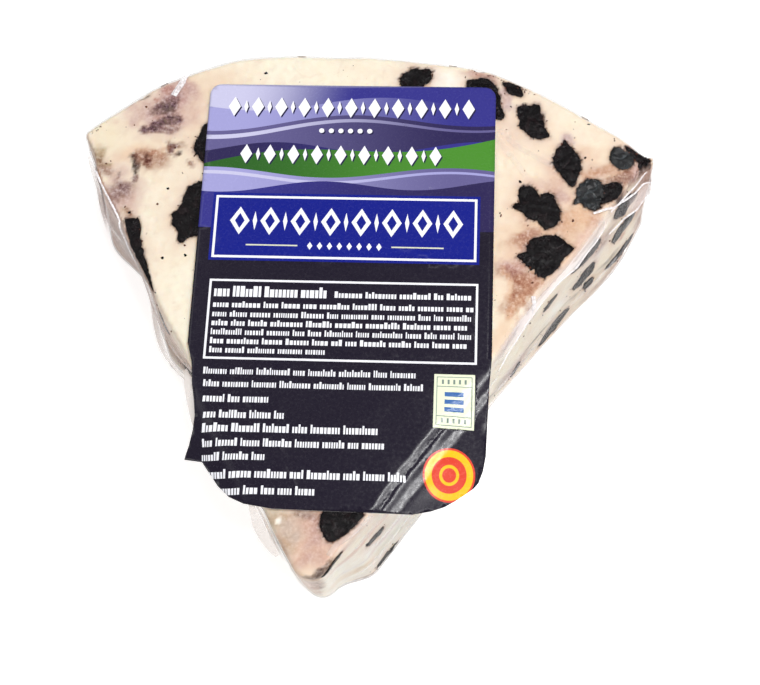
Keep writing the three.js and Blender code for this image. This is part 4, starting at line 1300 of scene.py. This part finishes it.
def wavy_band(top, bottom, swing, count, phase):
    """A band across the label between two wavy edges."""
    steps = 40
    loop = []
    for (left, right), way in ((top, 1), (bottom, -1)):
        for i in range(steps + 1)[::way]:
            share = i / steps
            down = left + (right - left) * share + swing * math.sin(2 * math.pi * count * share + phase)
            loop.append((LABEL_WIDTH * share, down))
    return clipped(loop, *FIELD)


def raised(loop):
    """A white shape with a soft dark copy a little down and to the right of it."""
    shadow = [(x + 0.28, y + 0.28) for x, y in loop]
    return [(shadow, flat(SHADOW)), (loop, flat(LABEL_WHITE))]


def label_art():
    """The label's plain shapes, from the bottom up: each a loop and its colour."""
    rim = label_outline()
    art = [(rim, flat(LABEL_DARK))]
    art.append((clipped(rim, *FIELD), faded((6, 1), FIELD_LIGHT, (30, 7), FIELD_BLUE)))
    for top, bottom, swing, count, phase, left_colour, right_colour in WAVY_BANDS:
        shade = faded((4, 0), left_colour, (54, 0), right_colour)
        art.append((wavy_band(top, bottom, swing, count, phase), shade))
    ornament_rows = ((5.2, 4.6, 5.4, 11), (16.2, 4.4, 8.6, 9))
    for row, size, first, count in ornament_rows:
        for i in range(count):
            x = first + i * 4.9
            art += raised(diamond(x, row, size * 0.56, size))
            if i < count - 1:
                art += raised(diamond(x + 2.45, row, size * 0.2, size * 0.66))
    for x in np.arange(24.0, 35.0, 2.0):
        art += raised(disc(x, 10.6, 0.55, 12))
    art += nested_boxes(2.6, 25.2, 57.2, 40.2, ((0, BANNER_BLUE), (0.6, LABEL_WHITE), (1.1, BANNER_BLUE)))
    for i in range(8):
        x = 8.4 + i * 6.2
        art.append((diamond(x, 31.4, 4.0, 6.2), flat(LABEL_WHITE)))
        art.append((diamond(x, 31.4, 2.0, 3.4), flat(BANNER_BLUE)))
        if i < 7:
            art.append((diamond(x + 3.1, 31.4, 0.9, 4.2), flat(LABEL_WHITE)))
    art.append((box(10.0, 36.6, 20.5, 36.9), flat(KEYLINE)))
    for x in np.arange(23.0, 37.5, 2.0):
        art.append((diamond(x, 36.75, 1.1, 1.7), flat(LABEL_WHITE)))
    art.append((box(39.5, 36.6, 50.0, 36.9), flat(KEYLINE)))
    art += nested_boxes(3.3, 44.3, 57.1, 61.3, ((0, LABEL_WHITE), (0.45, LABEL_DARK)))
    bold = 1.5
    lines = (
        (4.4, 27.5, 46.9, 2.3, 2.1), (28.6, 55.4, 47.2, 1.35, bold), (4.4, 56.0, 49.7, 1.3, bold),
        (4.4, 55.6, 51.7, 1.3, 1.0), (4.4, 55.0, 53.6, 1.3, bold), (4.4, 55.8, 55.5, 1.3, 1.0),
        (4.4, 55.0, 57.4, 1.3, bold), (4.4, 27.0, 59.3, 1.3, 1.0), (3.6, 46.0, 63.7, 1.4, 1.0),
        (3.8, 46.6, 66.3, 1.4, 1.0), (4.0, 17.0, 69.3, 1.6, 1.2), (4.4, 20.0, 72.5, 1.6, 1.2),
        (4.4, 38.0, 75.2, 1.75, bold), (4.4, 40.0, 78.1, 1.6, 1.2), (4.2, 17.5, 80.8, 1.6, 1.2),
        (4.2, 44.0, 84.2, 1.75, bold), (4.4, 27.0, 87.4, 1.7, bold),
    )
    for seed, (left, right, middle, height, thick) in enumerate(lines):
        for block in small_print(left, right, middle, height, thick, 400 + seed):
            art.append((block, flat(LABEL_WHITE)))
    art += nested_boxes(48.9, 63.4, 56.8, 74.2, ((0, STAMP_CREAM), (0.5, STAMP_LINE), (0.65, STAMP_CREAM)))
    for row in (65.8, 71.7):
        art.append((box(49.55, row, 56.15, row + 0.15), flat(STAMP_LINE)))
    for i in range(3):
        art.append((box(51.0, 67.0 + i * 1.5, 54.7, 67.9 + i * 1.5), flat(STAMP_BLUE)))
    for i in range(5):
        art.append((box(50.4 + i * 1.1, 64.5, 50.8 + i * 1.1, 65.4), flat(STAMP_LINE)))
        art.append((box(50.4 + i * 1.1, 72.2, 50.8 + i * 1.1, 73.1), flat(STAMP_LINE)))
    for index, radius in enumerate(SEAL_RINGS):
        art.append((disc(*SEAL_PLACE, radius), flat(SEAL_AMBER if index % 2 else SEAL_RED)))
    return art


def inside_loop(points, loop):
    """Which points lie inside a loop."""
    inside = np.zeros(len(points), dtype=bool)
    previous = loop[-1]
    for current in loop:
        (x1, y1), (x2, y2) = previous, current
        crosses = (y1 > points[:, 1]) != (y2 > points[:, 1])
        if y1 != y2:
            reach = x1 + (points[:, 1] - y1) * (x2 - x1) / (y2 - y1)
            inside ^= crosses & (points[:, 0] < reach)
        previous = current
    return inside


def past_right_edge(across, down):
    """How far a place on the label lies past the wedge's right top edge."""
    x, y = label_plan(across, down)
    return x * COS_HALF - y * SIN_HALF


def off_line(points, start, end):
    """How far points lie from a line between two places."""
    start = np.array(start, dtype=float)
    way = np.array(end, dtype=float) - start
    share = np.clip((points - start) @ way / (way @ way), 0.0, 1.0)
    return np.linalg.norm(points - start - share[:, None] * way, axis=1), share


# Small creases low on the left of the label: from and to, across and down
SMALL_CREASES = [
    ((12.0, 69.4), (15.4, 72.4)), ((13.2, 73.0), (16.6, 71.6)), ((17.4, 76.4), (20.4, 80.0)),
    ((21.0, 81.6), (23.2, 86.6)), ((5.6, 74.0), (8.4, 75.4)), ((9.4, 64.0), (11.6, 66.2)),
]


def label_lift(across, down):
    """Waves of the paper, larger low down, and the creases where it bends over the right edge."""
    flat_places = np.column_stack([across, down])
    places = np.column_stack([flat_places, np.zeros(len(across))])
    loose = smooth_step(50.0, 80.0, down)
    lift = (0.05 + 0.12 * loose) * (1 + layered_noise(places, 9.0, 201, 3))
    past = past_right_edge(across, down) + 0.35 * layered_noise(places, 6.0, 211, 3)
    low = smooth_step(62.0, 68.0, down)
    lift -= 0.26 * low * smooth_step(-1.2, 0.4, past)
    lift += 0.34 * low * smooth_step(1.8, 4.2, past) - 0.08 * low * smooth_step(4.4, 7.0, past)
    lift -= 0.14 * smooth_step(69.0, 74.0, down) * np.exp(-((past - 0.55) / 0.16) ** 2)
    for index, (start, end) in enumerate(SMALL_CREASES):
        off, share = off_line(flat_places, start, end)
        height = (0.2 + 0.04 * (index % 3)) * np.sin(math.pi * np.clip(share, 0.05, 0.95))
        lift += height * np.exp(-(off / 0.3) ** 2)
    return lift


GRID_MARGIN = 0.6


def even_grid(spacing):
    across = np.arange(GRID_MARGIN, LABEL_WIDTH, spacing)
    across, down = np.meshgrid(across, np.arange(GRID_MARGIN, LABEL_LENGTH, spacing))
    return np.column_stack([across.ravel(), down.ravel()])


def make_label():
    art = label_art()
    vertices = []
    edges = []
    for loop, _ in art:
        start = len(vertices)
        count = len(loop)
        vertices += [Vector(point) for point in loop]
        edges += [(start + i, start + (i + 1) % count) for i in range(count)]
    random = np.random.default_rng(5)
    outline = art[0][0]
    coarse = even_grid(1.1)
    fine = even_grid(0.33)
    past = past_right_edge(fine[:, 0], fine[:, 1])
    bent = (past > -1.8) & (past < 5.0) & (fine[:, 1] > 60.0)
    for start, end in SMALL_CREASES:
        bent |= off_line(fine, start, end)[0] < 0.8
    grid = np.vstack([coarse, fine[bent]])
    grid = grid + random.uniform(-0.08, 0.08, grid.shape)
    grid = grid[inside_loop(grid, outline)]
    vertices += [Vector(point) for point in grid]
    sheet, _, triangles, _, _, _ = delaunay_2d_cdt(vertices, edges, [], 0, 1e-4)
    sheet = np.array([tuple(point) for point in sheet])
    triangles = np.array([tuple(face) for face in triangles if len(face) == 3])
    centres = sheet[triangles].mean(axis=1)
    kept = inside_loop(centres, outline)
    triangles = triangles[kept]
    centres = centres[kept]
    edge_a = sheet[triangles[:, 1]] - sheet[triangles[:, 0]]
    edge_b = sheet[triangles[:, 2]] - sheet[triangles[:, 0]]
    # Down grows towards the bottom of the label, so a loop that turns the other way faces up
    turned = edge_a[:, 0] * edge_b[:, 1] - edge_a[:, 1] * edge_b[:, 0] > 0
    triangles[turned] = triangles[turned][:, ::-1]
    owner = np.zeros(len(triangles), dtype=int)
    for index, (loop, _) in enumerate(art):
        low = np.min(loop, axis=0)
        high = np.max(loop, axis=0)
        near = np.flatnonzero(((centres >= low) & (centres <= high)).all(axis=1))
        owner[near[inside_loop(centres[near], loop)]] = index
    corner_colours = np.zeros((len(triangles), 3, 3))
    for index, (_, shade) in enumerate(art):
        mine = np.flatnonzero(owner == index)
        if len(mine):
            corners = sheet[triangles[mine]].reshape(-1, 2)
            corner_colours[mine] = shade(corners).reshape(-1, 3, 3)
    across, down = sheet[:, 0].copy(), sheet[:, 1].copy()
    lift = LABEL_GAP + label_lift(across, down)
    under = bend_over_sides(*label_plan(across, down), lift)
    upper = bend_over_sides(*label_plan(across, down), lift + LABEL_THICKNESS)
    count = len(sheet)
    points = np.vstack([upper, under])
    faces = [tuple(face) for face in triangles]
    faces += [tuple(face[::-1] + count) for face in triangles]
    sides = {(face[i], face[(i + 1) % 3]): True for face in triangles for i in range(3)}
    rim = [(a, b) for a, b in sides if (b, a) not in sides]
    faces += [(b, a, a + count, b + count) for a, b in rim]
    piece = make_object("label_sheet", points, faces, label_material())
    paper = linear(226, 224, 222)
    colours = list(corner_colours.reshape(-1, 3))
    colours += [paper] * (3 * len(triangles) + 4 * len(rim))
    paint(piece, np.array(colours), "CORNER")
    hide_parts("label")


# Film that stands off: ridges where it is pinched, pleats along an edge, and the fins

def surface_path(tree, places, steps):
    """Evenly spaced places along a smooth line through the given ones, with the surface's normals."""
    places = np.array(places, dtype=float)
    lengths = np.append(0, np.cumsum(np.linalg.norm(np.diff(places, axis=0), axis=1)))
    targets = np.linspace(0, lengths[-1], steps)
    line = np.column_stack([np.interp(targets, lengths, places[:, i]) for i in range(3)])
    for _ in range(3):
        line[1:-1] = 0.5 * line[1:-1] + 0.25 * (line[:-2] + line[2:])
    found = [nearest_surface(tree, place) for place in line]
    return np.array([place for place, _ in found]), np.array([normal for _, normal in found])


def make_ridge(name, tree, places, width, height, material, steps=70, seed=0):
    """A pinched fold of film: a narrow raised line that dies away at both ends."""
    centre, normals = surface_path(tree, places, steps)
    tangents = np.gradient(centre, axis=0)
    sides = np.cross(tangents, normals)
    sides /= np.linalg.norm(sides, axis=1)[:, None]
    profile = np.linspace(-1, 1, 11)
    shares = np.linspace(0, 1, steps)
    swell = np.sin(math.pi * shares) ** 0.5 * (1 + 0.35 * layered_noise(centre, 3.5, 300 + seed))
    lean = 0.35 * layered_noise(centre, 5.0, 320 + seed)
    points = []
    for i in range(steps):
        for place in profile:
            bulge = (0.5 + 0.5 * math.cos(math.pi * place)) ** 1.6
            out = place * width / 2 + lean[i] * bulge * height
            points.append(centre[i] + sides[i] * out + normals[i] * (0.06 + height * bulge * swell[i]))
    piece = make_object(name, points, grid_faces(steps - 1, len(profile) - 1), material)


FIN_DROP = 0.45
FIN_LAYERS = (0.0, -0.22)


def make_leaf_of_film(name, hand, start, widest, end, width, material, node):
    """A crinkled leaf of spare film under the label's bent edge, as in the CAD model."""
    rows = 60
    columns = 14
    root = 0.7
    sheets = []
    for layer in FIN_LAYERS:
        places = []
        for row in range(rows + 1):
            along = start + (end - start) * row / rows
            if along < widest:
                rise = (along - start) / (widest - start)
            else:
                rise = (end - along) / (end - widest)
            for column in range(columns + 1):
                past = root + (0.9 + width * math.sin(math.pi / 2 * rise)) * column / columns
                across = along * SIN_HALF + past * COS_HALF
                places.append((hand * across, along * COS_HALF - past * SIN_HALF))
        places = np.array(places)
        flat_places = np.column_stack([places, np.zeros(len(places))])
        crinkle = 0.14 * layered_noise(flat_places, 3.0, 340) + 0.2 * layered_noise(flat_places, 8.0, 350)
        sheets.append(bend_over_sides(places[:, 0], places[:, 1], layer + crinkle - FIN_DROP))
    points = np.vstack(sheets)
    size = (rows + 1) * (columns + 1)
    faces = grid_faces(rows, columns) + [face[::-1] for face in grid_faces(rows, columns, size)]
    piece = make_object(name, points, faces, material)
    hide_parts(node)


def side_place(hand, along, z, out=0.0):
    origin, _, _, outward = face_frame("right" if hand > 0 else "left", along, z)
    return origin + outward * out


def make_sheet(name, tree, inner, outer, bulge, material):
    """Film that stands a little off the cheese between two lines."""
    steps = 80
    columns = 12
    first, first_normals = surface_path(tree, inner, steps)
    last, last_normals = surface_path(tree, outer, steps)
    points = []
    thinness = []
    for i in range(steps):
        fade = math.sin(math.pi * i / (steps - 1)) ** 0.4
        for j in range(columns + 1):
            share = j / columns
            place = first[i] * (1 - share) + last[i] * share
            surface = nearest_surface(tree, place)[0]
            away = first_normals[i] * (1 - share) + last_normals[i] * share
            away /= np.linalg.norm(away)
            lift = 0.26 + bulge * fade * math.sin(math.pi * share) ** 0.8
            points.append(share * (1 - share) * 2 * (place - surface) + surface + away * lift)
            thinness.append(1 - math.sin(math.pi * share) * math.sin(math.pi * i / (steps - 1)))
    points = np.array(points)
    stretched = points * np.array([0.5, 0.5, 1.6])
    points[:, 2] += 0.05 * layered_noise(stretched, 1.6, 330, 3)
    piece = make_object(name, points, grid_faces(steps - 1, columns), material)
    piece.data.attributes.new("thin", "FLOAT", "POINT").data.foreach_set("value", np.square(thinness))


def on_top(*places):
    return [(x, y, HEIGHT) for x, y in places]


def on_side(hand, *places):
    return [side_place(hand, along, z) for along, z in places]


# Lines of creases on the right side, as distances from the sharp point and heights
RIGHT_CREASES = (
    ((115.6, 12.9), (111.3, 13.4), (108.7, 13.4), (104.2, 16.9), (101.5, 18.0), (98.0, 19.4)),
    ((96.6, 25.0), (93.1, 24.2), (89.6, 24.8), (86.4, 23.6), (81.5, 25.4), (78.0, 25.0)),
    ((75.0, 24.6), (70.2, 24.5), (66.5, 23.4), (62.8, 22.0), (60.2, 18.9)),
    ((112.0, 24.4), (108.0, 24.0), (103.0, 25.6), (99.0, 27.0)),
)

# Low tension lines along the right side: where they start and end, their height there and its change
TENSION_LINES = (
    (14, 52, 21.5, 1.6), (18, 60, 14.0, 2.4), (12, 40, 8.0, 1.0), (60, 100, 8.4, -2.0), (26, 58, 4.4, 0.6),
)

TOP_CREASES = (((29.7, 100.2), (33.2, 96.6)), ((33.2, 96.6), (40.9, 92.5)), ((29.6, 97.6), (35.6, 89.9)))

# The upright folds of the round side: heights, and how far round they swing from their bearing
RIND_FOLD = ((3.0, 0.0), (9.0, 0.6), (15.0, -0.4), (22.0, 0.8), (27.0, 0.2))


def make_folds(tree):
    clear = film_material("film_fold", 0.06, 0.08, 0.6, linear(236, 232, 236))
    milky = film_material("film_pleat", 0.24, 0.16, 0.5, linear(240, 230, 228), 150.0, 0.2)
    # Real raised creases whose near-white milk is a painted highlight for the film's bright crease lines
    crease_highlight = film_material("film_crease_painted_highlight", 0.85, 0.2, 0.5, linear(250, 246, 248))
    loose = film_material("film_loose", 0.34, 0.16, 0.5, linear(226, 216, 210), 170.0, 0.2)
    tinted = film_material("film_tinted", 0.04, 0.1, 0.45, linear(204, 184, 180))
    corner_crease = on_top((49.6, 82.4), (51.3, 83.1)) + on_side(
        1, (101.4, 26.3), (105.5, 23.0), (108.3, 21.0), (110.7, 20.9), (113.3, 18.7), (115.4, 16.3))
    right_creases = [corner_crease] + [on_side(1, *line) for line in RIGHT_CREASES]
    for index, line in enumerate(right_creases):
        make_ridge(f"crease_right_{index + 1}", tree, line, 0.5, 0.28, crease_highlight, seed=index)
    tip_line = on_top((3.4, 8.6), (4.4, 10.6), (6.4, 12.2), (9.4, 14.4), (11.4, 16.6))
    make_ridge("crease_tip", tree, tip_line, 1.0, 0.3, milky, seed=8)
    # A short white ridge at the right edge: a painted glint on the film
    glint_line = on_top((38.6, 63.6), (38.9, 62.6)) + on_side(1, (72.6, 27.0), (71.4, 25.6))
    make_ridge("glint_right", tree, glint_line, 0.9, 0.4, crease_highlight, steps=30, seed=9)
    left_line = on_side(-1, (104.6, 20.0), (102.7, 24.7)) + on_top(
        (-53.6, 84.6), (-52.2, 82.4), (-50.4, 79.6), (-48.6, 76.8), (-46.9, 74.0)) + on_side(
        -1, (86.4, 26.0), (86.6, 20.5), (85.6, 14.0), (82.0, 9.4))
    make_ridge("crease_left", tree, left_line, 0.5, 0.3, crease_highlight, steps=110, seed=10)
    top_left_line = on_top((-39.5, 103.6), (-38.9, 105.0), (-38.0, 107.0), (-37.6, 109.2))
    make_ridge("crease_top_left", tree, top_left_line, 1.3, 0.45, crease_highlight, seed=11)
    make_sheet("haze_right_edge", tree,
               on_top((52.2, 84.4), (50.0, 80.7), (47.7, 76.6), (44.8, 71.9), (40.8, 67.2), (37.6, 62.8),
                      (35.0, 58.0), (32.8, 54.2), (30.8, 50.6)),
               on_side(1, (100.4, 24.6), (93.6, 24.0), (86.8, 24.2), (81.0, 25.6), (75.0, 24.8), (70.0, 24.4),
                       (66.0, 23.4), (62.0, 21.6), (58.6, 19.6)), 0.3, milky)
    make_sheet("haze_corner", tree,
               on_side(1, (114.8, 22.0), (111.4, 21.6), (108.0, 21.4), (104.6, 23.2)),
               on_side(1, (115.2, 13.6), (111.0, 13.6), (107.6, 14.4), (103.6, 17.6)), 0.3, tinted)
    make_sheet("puff_left", tree, on_side(-1, (112, 22), (108, 24), (103, 25), (98, 25)),
               on_side(-1, (112, 3), (107, 1.5), (102, 1.5), (96, 3)), 1.1, loose)
    make_sheet("puff_left_low", tree, on_side(-1, (78, 15), (68, 13), (58, 13), (47, 16)),
               on_side(-1, (78, 2), (68, 0.8), (58, 0.8), (47, 3)), 1.4, loose)
    make_sheet("puff_tip", tree, on_side(-1, (32, 27), (25, 27), (18, 27), (10, 26)),
               on_side(-1, (32, 15), (25, 12), (18, 12), (10, 16)), 0.8, milky)
    corner_rind = [face_frame("rind", 30.4, z)[0] for z in (25, 20, 14, 8)]
    make_sheet("puff_corner", tree, on_side(1, (113, 25), (113, 20), (113, 14), (112.4, 8)), corner_rind, 1.0,
               loose)
    low_line = on_side(-1, (84, 20), (74, 17), (62, 16), (50, 18))
    make_ridge("fold_left_low", tree, low_line, 2.2, 0.4, milky, seed=12)
    high_line = on_side(-1, (112, 12), (104, 15), (97, 13), (90, 16))
    make_ridge("fold_left_high", tree, high_line, 1.8, 0.4, milky, seed=13)
    for index, (start, end, z, slope) in enumerate(TENSION_LINES):
        places = [(start + (end - start) * share, z + slope * share) for share in (0.0, 0.35, 0.7, 1.0)]
        make_ridge(f"tension_right_{index + 1}", tree, on_side(1, *places), 1.5, 0.16, clear, seed=20 + index)
    for index, (first, last) in enumerate(TOP_CREASES):
        middle = ((first[0] + last[0]) / 2, (first[1] + last[1]) / 2)
        line = on_top(first, middle, last)
        make_ridge(f"crease_top_{index + 1}", tree, line, 1.3, 0.13, clear, seed=30 + index)
    for index, turn in enumerate((-22, -7, 9, 24)):
        line = [(*(bearing(math.radians(turn + swing)) * WHEEL_RADIUS), z) for z, swing in RIND_FOLD]
        make_ridge(f"fold_rind_{index + 1}", tree, line, 1.7, 0.45, milky, seed=40 + index)
    make_leaf_of_film("fin_left", -1, 28, 40, 52, 3.6, loose, "film_fin_left")
    make_leaf_of_film("fin_right", 1, 22, 36, 52, 5.6, loose, "film_fin_right")
    make_leaf_of_film("fin_tip", -1, 10, 16, 22, 1.4, loose, "film_fin_tip")


# Stage, light and camera

CAMERA_TARGET = np.array([9.14, 51.6, HEIGHT])
CAMERA_DISTANCE = 281.3
CAMERA_ELEVATION = math.radians(70)
CAMERA_TURN = math.radians(12.61)
CAMERA_ROLL = math.radians(-7.83)
FOCAL_PIXELS = 1429.6
PHOTO_WIDTH = 760
SENSOR_WIDTH = 36.0

ROOM_LIGHT = 0.42
FLOOR_GLOW = 0.52
STRIP_POWER = 2.5
STRIP_DISTANCE = 0.65
STRIP_WAY = (0.267, 0.099, 0.958)


def stand(name, data, right, up, back, place):
    """Adds a light or camera whose own axes point these ways."""
    item = bpy.data.objects.new(name, data)
    bpy.context.collection.objects.link(item)
    item.matrix_world = Matrix.Translation(place) @ Matrix((right, up, back)).transposed().to_4x4()
    return item


def add_camera():
    data = bpy.data.cameras.new("camera")
    data.sensor_fit = "HORIZONTAL"
    data.sensor_width = SENSOR_WIDTH
    data.lens = FOCAL_PIXELS / PHOTO_WIDTH * SENSOR_WIDTH
    data.clip_start = 0.01
    level = math.cos(CAMERA_ELEVATION)
    back = Vector((math.sin(CAMERA_TURN) * level, -math.cos(CAMERA_TURN) * level, math.sin(CAMERA_ELEVATION)))
    right = Vector((math.cos(CAMERA_TURN), math.sin(CAMERA_TURN), 0.0))
    up = back.cross(right)
    turned_right = right * math.cos(CAMERA_ROLL) + up * math.sin(CAMERA_ROLL)
    turned_up = up * math.cos(CAMERA_ROLL) - right * math.sin(CAMERA_ROLL)
    place = Vector((CAMERA_TARGET + SHARP_POINT) * MM) + back * CAMERA_DISTANCE * MM
    bpy.context.scene.camera = stand("camera", data, turned_right, turned_up, back, place)


def add_area_light(name, place, target, size, power):
    data = bpy.data.lights.new(name, "AREA")
    data.size = size
    data.energy = power
    light = bpy.data.objects.new(name, data)
    bpy.context.collection.objects.link(light)
    way = Vector(target) - Vector(place)
    aim = way.to_track_quat("-Z", "Y").to_matrix().to_4x4()
    light.matrix_world = Matrix.Translation(place) @ aim


def add_strip_light():
    """A long narrow light that shows as a soft streak where the label bends over the right edge."""
    data = bpy.data.lights.new("strip", "AREA")
    data.shape = "RECTANGLE"
    data.size = 0.03
    data.size_y = 0.3
    data.energy = STRIP_POWER
    bend_place = Vector((np.array([17.0, 26.0, HEIGHT]) + SHARP_POINT) * MM)
    away = Vector(STRIP_WAY).normalized()
    long_way = Vector((SIN_HALF, COS_HALF, 0.0))
    long_way = (long_way - away * long_way.dot(away)).normalized()
    short_way = long_way.cross(away)
    stand("strip", data, short_way, long_way, away, bend_place + away * STRIP_DISTANCE)


def add_stage():
    bpy.ops.mesh.primitive_plane_add(size=3.0, location=(0, 0, 0))
    floor = bpy.context.object
    floor.name = "floor"
    floor.data.materials.append(floor_material())
    world = bpy.data.worlds.new("soft_room")
    world.use_nodes = True
    background = world.node_tree.nodes["Background"]
    background.inputs["Color"].default_value = (1.0, 1.0, 1.0, 1.0)
    background.inputs["Strength"].default_value = ROOM_LIGHT
    bpy.context.scene.world = world
    middle = (0.0, 0.0, 0.02)
    add_area_light("key", (0.55, -0.35, 0.75), middle, 0.2, 2.1)
    add_area_light("fill", (-0.6, 0.25, 0.7), middle, 0.6, 1.5)
    add_strip_light()
    bpy.context.scene.view_settings.view_transform = "Standard"


# Building it all

SKIN_VOXEL = 0.7
PASTE_VOXEL = 0.55

outlines = [berry_outline(berry, seed) for seed, berry in enumerate(BERRIES)]
spare_outlines = [berry_outline(berry, seed + 200) for seed, berry in enumerate(UNDERSIDE_BERRIES)]

skin_points, skin_normals, skin_faces = wedge_mesh(SKIN_VOXEL)
skin_tree = BVHTree.FromPolygons(((skin_points + SHARP_POINT) * MM).tolist(), skin_faces)
paste_points, paste_normals, paste_faces = wedge_mesh(PASTE_VOXEL)

make_paste(paste_points, paste_normals, paste_faces, BERRIES + UNDERSIDE_BERRIES, outlines + spare_outlines,
           paste_material())
berry_skin = make_berries(skin_tree, outlines, spare_outlines)
make_specks(skin_tree, outlines, berry_skin)
clear_film = film_material("film_clear", 0.0, 0.06, 0.45, linear(120, 116, 118))
make_film(skin_points, skin_normals, skin_faces, clear_film)
make_folds(skin_tree)
make_label()

add_stage()
add_camera()
